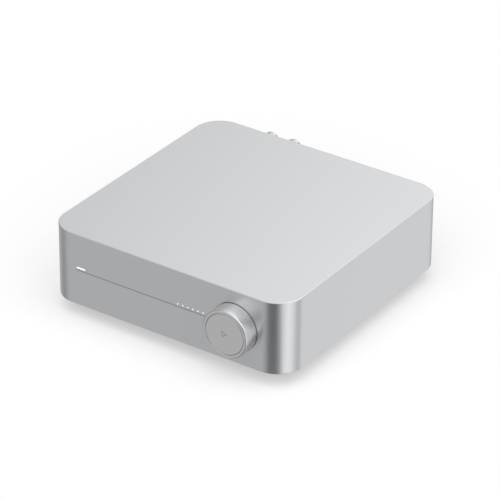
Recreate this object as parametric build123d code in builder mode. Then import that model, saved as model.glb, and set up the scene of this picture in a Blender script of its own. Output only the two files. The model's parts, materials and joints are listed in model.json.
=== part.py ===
from build123d import *
import os
from math import hypot

# A compact network music streamer with its own amplifier. A low square aluminium shell, open below,
# stands on a recessed round plinth with a rubber pad under it. The front holds a volume ring with a
# play button in its middle, a row of lamps and a fine line. The rear panel holds the speaker posts,
# the sound, network and picture sockets, and the mains inlet.
# Lengths are millimetres. +X is right seen from the front, +Y is to the rear, +Z is up, and the
# origin is the centre of the rubber pad's flat face, on the surface that the object stands on.

# Casing
case_width = 190.0
case_depth = 190.0
overall_height = 63.0
ground_gap = 10.2
shell_height = overall_height - ground_gap
corner_radius = 19.5
side_wall = 3.0
roof_thickness = 3.0
top_edge_radius = 0.6
lower_edge_radius = 0.4
left_face = -case_width / 2
right_face = case_width / 2
front_face = -case_depth / 2
rear_face = case_depth / 2
inner_left = left_face + side_wall
inner_right = right_face - side_wall
inner_front = front_face + side_wall
inner_rear = rear_face - side_wall
shell_bottom = ground_gap
ceiling = overall_height - roof_thickness
mid_height = shell_bottom + shell_height / 2

# Clearances
cover_gap = 0.2
running_gap = 0.05
slip_gap = 0.02
screw_gap = 0.05
cut_overrun = 1.0

# Base tray, its plinth and the rubber pad
tray_recess = 0.8
tray_thickness = 2.5
tray_bottom = shell_bottom + tray_recess
tray_top = tray_bottom + tray_thickness
plinth_inset = 20.0
plinth_radius = min(case_width, case_depth) / 2 - plinth_inset
plinth_wall = 2.5
plinth_floor_thickness = 3.0
foot_projection = 3.0
foot_seat_depth = 1.0
foot_rim = 2.0
foot_edge_radius = 0.8
plinth_floor = foot_projection + plinth_floor_thickness
foot_radius = plinth_radius - foot_rim
vent_width = 2.4
vent_length = 15.0
vent_start_radius = plinth_radius + 2 * plinth_wall
vent_pitch_degrees = 5.0
quarter_turn = 90.0
vents_per_corner = 7

# Case bosses and the screws that hold the tray
boss_radius = 4.0
boss_inset = 15.0
boss_hole_depth = 14.0
tray_screw_radius = 1.45
tray_screw_length = 12.0
tray_screw_head_radius = 2.75
tray_screw_head_height = 1.2
tray_screw_sink = 1.3

# Volume ring and play button, measured outwards from the front face
knob_inset = 39.4
knob_radius = 17.2
knob_projection = 11.6
knob_seam = 0.45
knob_recess_depth = 1.0
knob_sink = 0.6
bevel_width = 1.1
bevel_depth = 1.2
button_radius = 14.5
button_gap = 0.25
button_sink = 0.1
button_thickness = 2.2
button_travel = 0.6
button_floor_gap = 1.1
button_pocket_depth = button_sink + button_thickness + button_travel + button_floor_gap
ring_wall = 2.0
ring_web = 2.4
hub_radius = 7.0
hub_length = 2.8
button_edge_radius = 0.25
icon_width = 4.0
icon_height = 4.6
icon_line = 0.45
icon_depth = 0.15

# Encoder behind the front wall
encoder_width = 19.0
encoder_depth = 6.0
encoder_face = 1.5
encoder_base_depth = 4.0
bush_radius = 5.5
bush_projection = 2.0
bush_hole_gap = 0.1
nut_across_flats = 14.0
nut_height = 2.2
shaft_radius = 4.0
shaft_bore_radius = 2.3
shaft_flange_radius = 7.0
shaft_flange_thickness = 2.0
shaft_end_gap = 0.1
shaft_tip_setback = 0.5
flange_cavity_gap = 0.4
stem_radius = 1.9
clip_radius = 3.4
clip_thickness = 0.6
switch_width = 6.0
switch_height = 2.4
plunger_radius = 1.6
plunger_proud = 1.2
plunger_inside = 0.7
plunger_floor_gap = 0.5
plunger_cavity_depth = plunger_inside + button_travel + plunger_floor_gap
switch_well_radius = 4.6
board_thickness = 1.6
knob_board_width = 24.0

# Lamps: the status bar, the row of volume dots and the parts behind them
light_rise = 1.8
status_bar_inset = 24.3
status_bar_length = 6.9
status_bar_height = 0.8
dots_to_knob = 24.7
dot_pitch = 4.0
dot_count = 6
dot_radius = 0.4
light_gap = 0.04
line_width = 0.6
line_depth = 0.45
guide_flange_margin = 1.0
guide_flange_depth = 1.2
baffle_depth = 2.6
baffle_height = 9.0
baffle_end = 3.0
light_board_thickness = 1.2
chip_width = 2.0
chip_height = 1.2
chip_depth = 0.8
status_chip_count = 2
light_screw_radius = 0.95
light_screw_length = 5.6
light_screw_inset = 4.0
screw_end_gap = 0.2

# Rear panel
panel_recess = 0.8
panel_flange_thickness = 1.6
rear_side_margin = 24.0
rear_top_margin = 7.4
rear_opening_corner = 5.0
rear_opening_width = case_width - 2 * rear_side_margin
rear_opening_height = shell_height - 2 * rear_top_margin
panel_overlap_side = 4.4
panel_overlap_top = 3.4
panel_gap = 0.15
panel_screw_radius = 0.95
panel_screw_length = 3.6
panel_screw_drop = 5.0
small_head_radius = 1.8
small_head_height = 1.1
panel_face = rear_face - panel_recess
panel_inner = inner_rear - panel_flange_thickness

# Places across the rear panel, as shares of its opening's width from the middle, and the rows
posts_share = -0.3465
sub_out_share = -0.1451
line_in_share = -0.0324
optical_share = 0.0718
tv_share = 0.0986
network_share = 0.1944
media_share = 0.2324
inlet_share = 0.3944
row_pitch_share = 0.5

# Speaker posts
post_pitch = 19.0
post_projection = 21.2
cap_radius = 5.9
cap_lip = 1.0
cap_mouth_radius = 2.5
cap_edge = 0.8
cap_flute_radius = 0.55
cap_flute_count = 16
cap_flute_margin = 2.5
stud_radius = 2.95
stud_setback = 2.0
stud_tail = 10.0
stud_bore_radius = 2.05
stud_bore_depth = 11.8
wire_hole_radius = 1.0
shoulder_radius = 4.4
shoulder_thickness = 1.0
collar_radius = 6.3
collar_thickness = 2.2
collar_neck_radius = 4.1
collar_hole_gap = 0.1
washer_radius = 5.4
washer_thickness = 1.0
washer_gap = 0.3
post_nut_across_flats = 10.0
post_nut_height = 3.0
thread_gap = 0.07

# Phono sockets
phono_radius = 4.15
phono_bore_radius = 3.45
phono_length = 9.0
phono_flange_radius = 5.6
phono_flange_thickness = 1.0
phono_core_gap = 0.03
phono_core_setback = 1.0
phono_pin_radius = 1.65
phono_pin_depth = 10.0
phono_block_depth = 14.0
phono_block_width = 12.0

# Boards on the tray
board_clearance = 4.9
board_bottom = tray_top + board_clearance
board_top = board_bottom + board_thickness
main_board_side_gap = 18.0
main_board_depth = 118.0
main_board_rear_gap = 2.4
power_board_side_gap = 8.0
power_board_width = 42.0
power_board_front_gap = 20.0
power_board_rear_gap = 18.4
board_gap = 4.0
board_hole_inset = 4.0
rear_hole_setback = 24.0
power_board_right = inner_right - power_board_side_gap
power_board_left = power_board_right - power_board_width
power_board_middle = (power_board_left + power_board_right) / 2
power_board_front = inner_front + power_board_front_gap
power_board_rear = panel_inner - power_board_rear_gap
main_board_left = inner_left + main_board_side_gap
main_board_right = power_board_left - board_gap
main_board_rear = panel_inner - main_board_rear_gap
main_board_front = main_board_rear - main_board_depth
standoff_radius = 3.5
board_screw_radius = 1.45
board_screw_length = 6.0
board_screw_head_radius = 2.75
board_screw_head_height = 1.9
board_screw_hole_depth = 8.0

# Streaming module above the main board
module_width = 37.0
module_depth = 44.0
module_x = rear_opening_width * (tv_share + media_share) / 2
module_left = module_x - module_width / 2
module_right = module_x + module_width / 2
module_rear = main_board_rear
module_front = module_rear - module_depth
module_gap = 0.6
spacer_radius = 2.5
spacer_inset = 6.0
spacer_rear_setback = 18.0

# Sockets on the module and on the main board
tv_width = 15.0
tv_height = 5.6
tv_wall = 0.4
tv_depth = 12.5
tv_proud = 0.6
tv_shoulder = 1.9
tv_tongue_width = 11.0
tv_tongue_height = 1.0
tongue_setback = 1.0
socket_back = 2.0
media_width = 13.3
media_height = 5.9
media_wall = 0.4
media_depth = 14.0
media_proud = 0.6
media_tongue_width = 11.1
media_tongue_height = 1.8
media_tongue_rise = 0.9
socket_gap = 0.15
network_width = 15.9
network_height = 13.2
network_depth = 17.0
network_proud = 0.8
network_mouth_width = 11.9
network_mouth_height = 7.4
network_mouth_rise = 0.8
network_mouth_depth = 12.5
network_tab_width = 6.2
network_tab_height = 1.8
contact_count = 8
contact_pitch = 1.02
contact_width = 0.4
contact_length = 9.0
contact_setback = 1.5
optical_width = 9.8
optical_height = 10.0
optical_depth = 12.0
optical_proud = 1.0
optical_frame = 1.2
optical_window = 6.2
optical_cavity_width = 7.2
optical_cavity_height = 7.0
optical_cavity_depth = 9.0
shutter_width = 6.8
shutter_thickness = 0.6
shutter_gap = 0.15
shutter_lap = 0.15
shutter_pivot_drop = 0.35
shutter_pivot_setback = 0.7
shutter_barrel_radius = 0.6
shutter_pin_radius = 0.4
shutter_pin_reach = 0.8

# Mains inlet, upright
inlet_flange_width = 15.0
inlet_flange_height = 25.0
inlet_flange_thickness = 1.5
inlet_flange_corner = 3.0
inlet_body_width = 11.5
inlet_body_height = 20.5
inlet_body_corner = 5.0
inlet_depth = 18.0
inlet_mouth_width = 7.6
inlet_mouth_height = 16.4
inlet_mouth_depth = 12.0
inlet_pin_pitch = 8.6
inlet_pin_radius = 1.18
inlet_pin_setback = 3.0
inlet_pin_tail = 3.0

# Parts on the boards
chip_body_width = 14.0
chip_body_depth = 9.0
chip_body_height = 2.5
amp_chip_inset_x = 40.0
amp_chip_inset_y = 25.0
heatsink_width = 62.0
heatsink_depth = 34.0
heatsink_base = 4.0
heatsink_head_gap = 7.5
heatsink_height = ceiling - heatsink_head_gap - board_top - chip_body_height
fin_thickness = 1.6
fin_count = 10
choke_width = 12.0
choke_height = 14.0
choke_corner = 2.0
choke_pitch = 13.5
choke_count = 4
choke_inset = 12.0
choke_setback = 30.0
cap_can_radius = 8.0
cap_can_height = 25.0
cap_can_pitch = 18.0
cap_can_count = 4
cap_can_inset = 12.0
cap_can_setback = 54.0
bulk_can_radius = 11.0
bulk_can_head_gap = 6.0
bulk_can_height = ceiling - bulk_can_head_gap - board_top
bulk_can_setback = 34.0
can_edge_radius = 1.0
transformer_width = 34.0
transformer_depth = 32.0
transformer_height = 27.0
transformer_setback = 78.0
winding_margin = 4.0
winding_overhang = 3.0
shield_width = 24.0
shield_depth = 20.0
shield_height = 3.0
shield_edge_radius = 0.5
shield_setback = 28.0
antenna_width = 7.0
antenna_length = 34.0
antenna_thickness = 0.3
antenna_spacing = 70.0
antenna_wall_gap = 1.5

# Leads inside the case
mains_lead_radius = 1.1
mains_lead_spacing = 6.0
ribbon_width = 12.0
ribbon_thickness = 0.7
ribbon_run = 3.0
ribbon_bend = 1.5


def front_plane(x, z):
    """A plane on the front face at x and z, facing out of the front."""
    return Plane(origin=(x, front_face, z), x_dir=(1, 0, 0), z_dir=(0, -1, 0))


def rear_plane(x, z):
    """A plane on the rear panel's face at x and z, facing out of the rear."""
    return Plane(origin=(x, panel_face, z), x_dir=(-1, 0, 0), z_dir=(0, 1, 0))


def level(x, y, z):
    """A level plane at a point, facing up."""
    return Plane(origin=(x, y, z))


def downward(x, y, z):
    """A level plane at a point, facing down."""
    return Plane(origin=(x, y, z), x_dir=(1, 0, 0), z_dir=(0, 0, -1))


def disc(plane, radius, start, end, mode=Mode.ADD):
    """A round solid about the plane's normal, between two distances along it."""
    with BuildSketch(plane.offset(start)) as outline:
        Circle(radius)
    extrude(outline.sketch, amount=end - start, mode=mode)


def tube(plane, outer, inner, start, end):
    """A round tube about the plane's normal, between two distances along it."""
    with BuildSketch(plane.offset(start)) as outline:
        Circle(outer)
        Circle(inner, mode=Mode.SUBTRACT)
    extrude(outline.sketch, amount=end - start)


def slab(plane, width, height, start, end, corner=0, shift=(0, 0), mode=Mode.ADD):
    """A rectangular solid centred on the plane, with rounded corners if asked."""
    with BuildSketch(plane.offset(start)) as outline:
        with Locations(shift):
            if corner > 0:
                RectangleRounded(width, height, corner)
            else:
                Rectangle(width, height)
    extrude(outline.sketch, amount=end - start, mode=mode)


def screw(plane, radius, length, head_radius, head_height):
    """A cross-head screw. The plane is its head's seat, facing towards the head."""
    disc(plane, radius, 0, -length)
    disc(plane, head_radius, 0, head_height)
    slot_length, slot_width, slot_depth = head_radius * 1.1, head_radius / 4, head_height / 2
    for width, height in ((slot_length, slot_width), (slot_width, slot_length)):
        slab(plane, width, height, head_height - slot_depth, head_height, mode=Mode.SUBTRACT)


def keep(part, name):
    """Labels a finished piece and writes its file."""
    part.label = name
    export_step(part, os.path.join("parts", name + ".step"))


def mirrored_pairs(x, y):
    """The four points at plus and minus x and y."""
    return [(sx * x, sy * y) for sx in (-1, 1) for sy in (-1, 1)]


os.makedirs("parts", exist_ok=True)

knob_x = right_face - knob_inset
status_bar_x = left_face + status_bar_inset + status_bar_length / 2
knob_axis = front_plane(knob_x, mid_height)
light_height = mid_height + light_rise
row_pitch = rear_opening_height * row_pitch_share
upper_row = mid_height + row_pitch / 2
lower_row = mid_height - row_pitch / 2
posts_x = rear_opening_width * posts_share
outer_post_x = posts_x - post_pitch / 2
inner_post_x = posts_x + post_pitch / 2
sub_out_x = rear_opening_width * sub_out_share
line_in_x = rear_opening_width * line_in_share
dot_row_length = dot_pitch * (dot_count - 1)
dot_row_x = knob_x - dots_to_knob - dot_row_length / 2
boss_places = mirrored_pairs(case_width / 2 - boss_inset, case_depth / 2 - boss_inset)
panel_screw_x = rear_opening_width / 2 + panel_overlap_side / 2
panel_screw_rise = rear_opening_height / 2 - panel_screw_drop
tv_x = rear_opening_width * tv_share
media_x = rear_opening_width * media_share
network_x = rear_opening_width * network_share
optical_x = rear_opening_width * optical_share
inlet_x = rear_opening_width * inlet_share
spacer_height = network_height + module_gap
module_top = board_top + spacer_height + board_thickness
tv_height_above = module_top + tv_height / 2
media_height_above = module_top + media_height / 2
network_centre = board_top + network_height / 2
optical_centre = board_top + optical_height / 2

posts = {
    "left_plus": (outer_post_x, upper_row),
    "right_plus": (inner_post_x, upper_row),
    "left_minus": (outer_post_x, lower_row),
    "right_minus": (inner_post_x, lower_row),
}
phonos = {
    "white": (line_in_x, upper_row),
    "red": (line_in_x, lower_row),
    "black": (sub_out_x, lower_row),
}

# Board corners that carry a standoff in the tray
main_standoffs = [
    (main_board_left + board_hole_inset, main_board_front + board_hole_inset),
    (main_board_right - board_hole_inset, main_board_front + board_hole_inset),
    (main_board_left + board_hole_inset, main_board_rear - board_hole_inset),
    (main_board_right - board_hole_inset, main_board_rear - rear_hole_setback),
]
power_standoffs = [
    (power_board_left + board_hole_inset, power_board_front + board_hole_inset),
    (power_board_right - board_hole_inset, power_board_front + board_hole_inset),
    (power_board_left + board_hole_inset, power_board_rear - board_hole_inset),
    (power_board_right - board_hole_inset, power_board_rear - board_hole_inset),
]
standoffs = main_standoffs + power_standoffs

# Places along the front light strip
guide_height = status_bar_height + 2 * guide_flange_margin
status_guide_length = status_bar_length + 2 * guide_flange_margin
dot_guide_length = dot_row_length + 2 * (dot_radius + guide_flange_margin)
baffle_left = left_face + corner_radius + cover_gap
baffle_right = dot_row_x + dot_guide_length / 2 + baffle_end
baffle_length = baffle_right - baffle_left
baffle_middle = (baffle_left + baffle_right) / 2
baffle_back = -side_wall - baffle_depth
light_board_back = baffle_back - light_board_thickness
light_screw_places = [
    front_plane(x, light_height)
    for x in (
        status_bar_x + status_guide_length / 2 + light_screw_inset,
        dot_row_x - dot_guide_length / 2 - light_screw_inset,
    )
]


def tv_outline(grow):
    """The picture socket's mouth shape: a rectangle with its lower corners cut, grown all round."""
    half_width = tv_width / 2 - tv_wall + grow
    half_height = tv_height / 2 - tv_wall + grow
    with BuildLine() as outline:
        Polyline(
            (-half_width, half_height),
            (half_width, half_height),
            (half_width, half_height - tv_height / 2),
            (half_width - tv_shoulder, -half_height),
            (-half_width + tv_shoulder, -half_height),
            (-half_width, half_height - tv_height / 2),
            close=True,
        )
    make_face(outline.edges())


# Shell: one aluminium piece with a roof and four walls, open below
with BuildPart() as case_shell:
    with BuildSketch(Plane.XY.offset(shell_bottom)):
        RectangleRounded(case_width, case_depth, corner_radius)
    extrude(amount=shell_height)
    fillet(case_shell.faces().sort_by(Axis.Z)[-1].edges(), top_edge_radius)
    fillet(case_shell.faces().sort_by(Axis.Z)[0].edges(), lower_edge_radius)
    with BuildSketch(Plane.XY.offset(shell_bottom)):
        RectangleRounded(
            case_width - 2 * side_wall, case_depth - 2 * side_wall, corner_radius - side_wall
        )
    extrude(amount=shell_height - roof_thickness, mode=Mode.SUBTRACT)
    for x, y in boss_places:
        disc(level(x, y, tray_top), boss_radius, 0, ceiling - tray_top)
        hole_radius = tray_screw_radius + screw_gap
        disc(level(x, y, tray_top), hole_radius, 0, boss_hole_depth, mode=Mode.SUBTRACT)
    # Recess round the knob, and the hole for the encoder's bush
    disc(knob_axis, knob_radius + knob_seam, -knob_recess_depth, cut_overrun, mode=Mode.SUBTRACT)
    disc(
        knob_axis, bush_radius + bush_hole_gap, -side_wall - cut_overrun, cut_overrun,
        mode=Mode.SUBTRACT,
    )
    # Fine line from the status bar to the knob
    line_left = status_bar_x - status_bar_length / 2
    line_length = knob_x - line_left
    slab(
        front_plane(line_left + line_length / 2, mid_height),
        line_length, line_width, -line_depth, cut_overrun, mode=Mode.SUBTRACT,
    )
    # Slot for the status bar and holes for the volume dots
    with BuildSketch(front_plane(status_bar_x, light_height).offset(-side_wall - cut_overrun)):
        SlotOverall(status_bar_length, status_bar_height)
    extrude(amount=side_wall + 2 * cut_overrun, mode=Mode.SUBTRACT)
    with BuildSketch(front_plane(dot_row_x, light_height).offset(-side_wall - cut_overrun)):
        with GridLocations(dot_pitch, dot_pitch, dot_count, 1):
            Circle(dot_radius)
    extrude(amount=side_wall + 2 * cut_overrun, mode=Mode.SUBTRACT)
    # Blind holes in the front wall for the lamp board's screws
    for place in light_screw_places:
        disc(
            place, light_screw_radius + screw_gap, -side_wall - cut_overrun,
            light_board_back + light_screw_length + screw_end_gap, mode=Mode.SUBTRACT,
        )
    # Opening for the rear panel, and the blind holes for its screws
    slab(
        rear_plane(0, mid_height), rear_opening_width, rear_opening_height,
        -side_wall - cut_overrun, panel_recess + cut_overrun, rear_opening_corner,
        mode=Mode.SUBTRACT,
    )
    inner_wall = inner_rear - panel_face
    for x, z in mirrored_pairs(panel_screw_x, panel_screw_rise):
        disc(
            rear_plane(x, mid_height + z), panel_screw_radius + screw_gap, inner_wall - cut_overrun,
            inner_wall + panel_screw_length - panel_flange_thickness + screw_end_gap,
            mode=Mode.SUBTRACT,
        )
keep(case_shell.part, "case_shell")

# Base tray: closes the shell from below, with the round plinth sunk from it
with BuildPart() as base_tray:
    with BuildSketch(Plane.XY.offset(tray_bottom)):
        RectangleRounded(
            case_width - 2 * (side_wall + cover_gap),
            case_depth - 2 * (side_wall + cover_gap),
            corner_radius - side_wall - cover_gap,
        )
    extrude(amount=tray_thickness)
    disc(Plane.XY, plinth_radius, foot_projection, tray_top)
    disc(
        Plane.XY, plinth_radius - plinth_wall, plinth_floor, tray_top + cut_overrun,
        mode=Mode.SUBTRACT,
    )
    # Seat for the rubber pad
    disc(
        Plane.XY, foot_radius, foot_projection - cut_overrun, foot_projection + foot_seat_depth,
        mode=Mode.SUBTRACT,
    )
    # Air slots in the four corners
    vent_middle = vent_start_radius + vent_length / 2
    fan = vent_pitch_degrees * (vents_per_corner - 1)
    with BuildSketch(Plane.XY.offset(tray_bottom - cut_overrun)):
        for corner in range(4):
            with PolarLocations(
                vent_middle, vents_per_corner, quarter_turn * (corner + 0.5) - fan / 2, fan,
                endpoint=True,
            ):
                SlotOverall(vent_length, vent_width)
    extrude(amount=tray_thickness + 2 * cut_overrun, mode=Mode.SUBTRACT)
    # Standoffs for the two boards
    for x, y in standoffs:
        over_flange = hypot(x, y) > plinth_radius - plinth_wall
        foot_of_standoff = tray_bottom if over_flange else plinth_floor - foot_seat_depth
        disc(level(x, y, foot_of_standoff), standoff_radius, 0, board_bottom - foot_of_standoff)
        disc(
            downward(x, y, board_bottom), board_screw_radius + screw_gap,
            -cut_overrun, board_screw_hole_depth - board_thickness, mode=Mode.SUBTRACT,
        )
    # Counterbored holes for the screws into the case bosses
    for x, y in boss_places:
        hole = downward(x, y, tray_bottom)
        disc(
            hole, tray_screw_radius + 2 * screw_gap, -tray_thickness - cut_overrun, cut_overrun,
            mode=Mode.SUBTRACT,
        )
        disc(
            hole, tray_screw_head_radius + cover_gap, -tray_screw_sink, cut_overrun,
            mode=Mode.SUBTRACT,
        )
keep(base_tray.part, "base_tray")

with BuildPart() as foot_pad:
    disc(Plane.XY, foot_radius - slip_gap, 0, foot_projection + foot_seat_depth)
    fillet(foot_pad.faces().sort_by(Axis.Z)[0].edges(), foot_edge_radius)
keep(foot_pad.part, "foot_pad")

with BuildPart() as base_screws:
    for x, y in boss_places:
        screw(
            downward(x, y, tray_bottom + tray_screw_sink), tray_screw_radius, tray_screw_length,
            tray_screw_head_radius, tray_screw_head_height,
        )
keep(base_screws.part, "base_screws")

# Volume ring: a turned aluminium ring with a bevelled front, a pocket for the button and a hub
pocket_floor = knob_projection - button_pocket_depth
web_back = pocket_floor - ring_web
hub_back = web_back - hub_length
with BuildPart() as volume_ring:
    disc(knob_axis, knob_radius, -knob_sink, knob_projection - bevel_depth)
    with BuildSketch(knob_axis.offset(knob_projection - bevel_depth)):
        Circle(knob_radius)
    with BuildSketch(knob_axis.offset(knob_projection)):
        Circle(knob_radius - bevel_width)
    loft()
    disc(
        knob_axis, button_radius + button_gap, pocket_floor, knob_projection + cut_overrun,
        mode=Mode.SUBTRACT,
    )
    with BuildSketch(knob_axis.offset(web_back)):
        Circle(knob_radius - ring_wall)
    extrude(amount=-web_back - knob_sink - cut_overrun, mode=Mode.SUBTRACT)
    disc(knob_axis, hub_radius, hub_back, web_back)
    disc(
        knob_axis, shaft_radius + slip_gap, hub_back - cut_overrun, pocket_floor + cut_overrun,
        mode=Mode.SUBTRACT,
    )
keep(volume_ring.part, "volume_ring")

# Encoder: a front housing with a threaded bush, a rear base, and the hollow shaft between them
housing_front = -side_wall
housing_back = housing_front - encoder_depth
base_back = housing_back - encoder_base_depth
cavity_front = housing_front - encoder_face
flange_front = cavity_front - shaft_end_gap
flange_back = flange_front - shaft_flange_thickness
shaft_back = flange_back - 2 * shaft_end_gap
shaft_tip = pocket_floor - shaft_tip_setback
with BuildPart() as encoder_housing:
    slab(knob_axis, encoder_width, encoder_width, housing_back, housing_front)
    disc(knob_axis, bush_radius, housing_front, bush_projection)
    disc(
        knob_axis, shaft_radius + running_gap, cavity_front - cut_overrun,
        bush_projection + cut_overrun, mode=Mode.SUBTRACT,
    )
    disc(
        knob_axis, shaft_flange_radius + flange_cavity_gap, housing_back - cut_overrun,
        cavity_front, mode=Mode.SUBTRACT,
    )
keep(encoder_housing.part, "encoder_housing")

with BuildPart() as encoder_shaft:
    disc(knob_axis, shaft_radius, shaft_back, shaft_tip)
    disc(knob_axis, shaft_flange_radius, flange_back, flange_front)
    disc(
        knob_axis, shaft_bore_radius, shaft_back - cut_overrun, shaft_tip + cut_overrun,
        mode=Mode.SUBTRACT,
    )
keep(encoder_shaft.part, "encoder_shaft")

with BuildPart() as encoder_base:
    slab(knob_axis, encoder_width, encoder_width, base_back, housing_back)
    disc(
        knob_axis, switch_well_radius, base_back - cut_overrun, housing_back + cut_overrun,
        mode=Mode.SUBTRACT,
    )
keep(encoder_base.part, "encoder_base")

with BuildPart() as encoder_nut:
    with BuildSketch(knob_axis.offset(-knob_recess_depth)):
        RegularPolygon(nut_across_flats / 2, 6, major_radius=False)
        Circle(bush_radius + slip_gap, mode=Mode.SUBTRACT)
    extrude(amount=nut_height)
keep(encoder_nut.part, "encoder_nut")

# Switch behind the button's stem, with its plunger
switch_face = base_back + switch_height
plunger_tip = switch_face + plunger_proud
with BuildPart() as button_switch:
    slab(knob_axis, switch_width, switch_width, base_back, switch_face)
    disc(
        knob_axis, plunger_radius + running_gap, switch_face - plunger_cavity_depth,
        switch_face + cut_overrun, mode=Mode.SUBTRACT,
    )
keep(button_switch.part, "button_switch")

with BuildPart() as switch_plunger:
    disc(knob_axis, plunger_radius, switch_face - plunger_inside, plunger_tip)
keep(switch_plunger.part, "switch_plunger")

# Play button: a disc inside the ring on a long stem, with a sunk triangle outline on its face
button_face = knob_projection - button_sink
button_back = button_face - button_thickness
with BuildPart() as play_button:
    disc(knob_axis, button_radius, button_back, button_face)
    fillet(
        play_button.faces().sort_by(Axis.Y)[0].edges(),
        min(button_edge_radius, button_thickness / 3),
    )
    disc(knob_axis, stem_radius, plunger_tip, button_back)
    with BuildSketch(knob_axis.offset(button_face - icon_depth)):
        with BuildLine():
            Polyline(
                (-icon_width / 2, icon_height / 2),
                (icon_width / 2, 0),
                (-icon_width / 2, -icon_height / 2),
                close=True,
            )
        make_face()
        offset(amount=-icon_line, kind=Kind.INTERSECTION, mode=Mode.SUBTRACT)
    extrude(amount=icon_depth + cut_overrun, mode=Mode.SUBTRACT)
keep(play_button.part, "play_button")

with BuildPart() as button_clip:
    clip_front = shaft_back - shaft_end_gap
    tube(knob_axis, clip_radius, stem_radius + slip_gap, clip_front - clip_thickness, clip_front)
keep(button_clip.part, "button_clip")

# Light guides, the baffle that holds them, and the two boards that carry the lamps and encoder
guide_back = -side_wall - guide_flange_depth
light_plane = front_plane(baffle_middle, light_height)
status_plane = front_plane(status_bar_x, light_height)
dots_plane = front_plane(dot_row_x, light_height)
with BuildPart() as light_guides:
    with BuildSketch(status_plane.offset(-side_wall)):
        SlotOverall(status_bar_length - 2 * light_gap, status_bar_height - 2 * light_gap)
    extrude(amount=side_wall)
    slab(status_plane, status_guide_length, guide_height, guide_back, -side_wall)
    with BuildSketch(dots_plane.offset(-side_wall)):
        with GridLocations(dot_pitch, dot_pitch, dot_count, 1):
            Circle(dot_radius - light_gap)
    extrude(amount=side_wall)
    slab(dots_plane, dot_guide_length, guide_height, guide_back, -side_wall)
keep(light_guides.part, "light_guides")

with BuildPart() as light_baffle:
    slab(light_plane, baffle_length, baffle_height, baffle_back, -side_wall)
    for plane, length in ((status_plane, status_guide_length), (dots_plane, dot_guide_length)):
        slab(
            plane, length + 2 * slip_gap, guide_height + 2 * slip_gap, baffle_back - cut_overrun,
            -side_wall + cut_overrun, mode=Mode.SUBTRACT,
        )
    for place in light_screw_places:
        disc(
            place, light_screw_radius + screw_gap, baffle_back - cut_overrun,
            -side_wall + cut_overrun, mode=Mode.SUBTRACT,
        )
keep(light_baffle.part, "light_baffle")

with BuildPart() as front_boards:
    slab(light_plane, baffle_length, baffle_height, light_board_back, baffle_back)
    for place in light_screw_places:
        disc(
            place, light_screw_radius + screw_gap, light_board_back - cut_overrun,
            baffle_back + cut_overrun, mode=Mode.SUBTRACT,
        )
    slab(
        knob_axis, knob_board_width, knob_board_width, base_back - board_thickness, base_back
    )
keep(front_boards.part, "front_boards")

with BuildPart() as light_chips:
    for plane, pitch, count in (
        (status_plane, status_bar_length / status_chip_count, status_chip_count),
        (dots_plane, dot_pitch, dot_count),
    ):
        with BuildSketch(plane.offset(baffle_back)):
            with GridLocations(pitch, pitch, count, 1):
                Rectangle(chip_width, chip_height)
        extrude(amount=chip_depth)
keep(light_chips.part, "light_chips")

# Small screws: two hold the lamp board, four hold the rear panel from inside
with BuildPart() as small_screws:
    for place in light_screw_places:
        seat = Plane(
            origin=place.origin + place.z_dir * light_board_back, x_dir=(-1, 0, 0), z_dir=(0, 1, 0)
        )
        screw(
            seat, light_screw_radius, light_screw_length, small_head_radius, small_head_height
        )
    for x, z in mirrored_pairs(panel_screw_x, panel_screw_rise):
        seat = Plane(
            origin=(x, panel_inner, mid_height + z), x_dir=(1, 0, 0), z_dir=(0, -1, 0)
        )
        screw(
            seat, panel_screw_radius, panel_screw_length, small_head_radius, small_head_height
        )
keep(small_screws.part, "small_screws")

# Rear panel: an insert in the shell's opening, with a flange behind the wall
flange_back_face = panel_inner - panel_face
with BuildPart() as rear_panel:
    plane = rear_plane(0, mid_height)
    slab(
        plane, rear_opening_width - 2 * panel_gap, rear_opening_height - 2 * panel_gap,
        flange_back_face, 0, rear_opening_corner - panel_gap,
    )
    slab(
        plane, rear_opening_width + 2 * panel_overlap_side,
        rear_opening_height + 2 * panel_overlap_top,
        flange_back_face, flange_back_face + panel_flange_thickness, rear_opening_corner,
    )
    through = {"start": flange_back_face - cut_overrun, "end": cut_overrun}
    for x, z in posts.values():
        disc(rear_plane(x, z), collar_neck_radius + collar_hole_gap, mode=Mode.SUBTRACT, **through)
    for x, z in phonos.values():
        disc(rear_plane(x, z), phono_radius + cover_gap, mode=Mode.SUBTRACT, **through)
    for x, z in mirrored_pairs(panel_screw_x, panel_screw_rise):
        disc(
            rear_plane(x, mid_height + z), panel_screw_radius + screw_gap, mode=Mode.SUBTRACT,
            **through,
        )
    with BuildSketch(rear_plane(tv_x, tv_height_above).offset(flange_back_face)):
        tv_outline(tv_wall + socket_gap)
    extrude(amount=-flange_back_face, mode=Mode.SUBTRACT)
    slab(
        rear_plane(media_x, media_height_above), media_width + 2 * socket_gap,
        media_height + 2 * socket_gap, mode=Mode.SUBTRACT, **through,
    )
    slab(
        rear_plane(network_x, network_centre), network_width + 2 * socket_gap,
        network_height + 2 * socket_gap, mode=Mode.SUBTRACT, **through,
    )
    slab(
        rear_plane(optical_x, optical_centre), optical_width + 2 * socket_gap,
        optical_height + 2 * socket_gap, mode=Mode.SUBTRACT, **through,
    )
    slab(
        rear_plane(inlet_x, mid_height), inlet_body_width + 2 * socket_gap,
        inlet_body_height + 2 * socket_gap, corner=inlet_body_corner + socket_gap,
        mode=Mode.SUBTRACT, **through,
    )
keep(rear_panel.part, "rear_panel")

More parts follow.
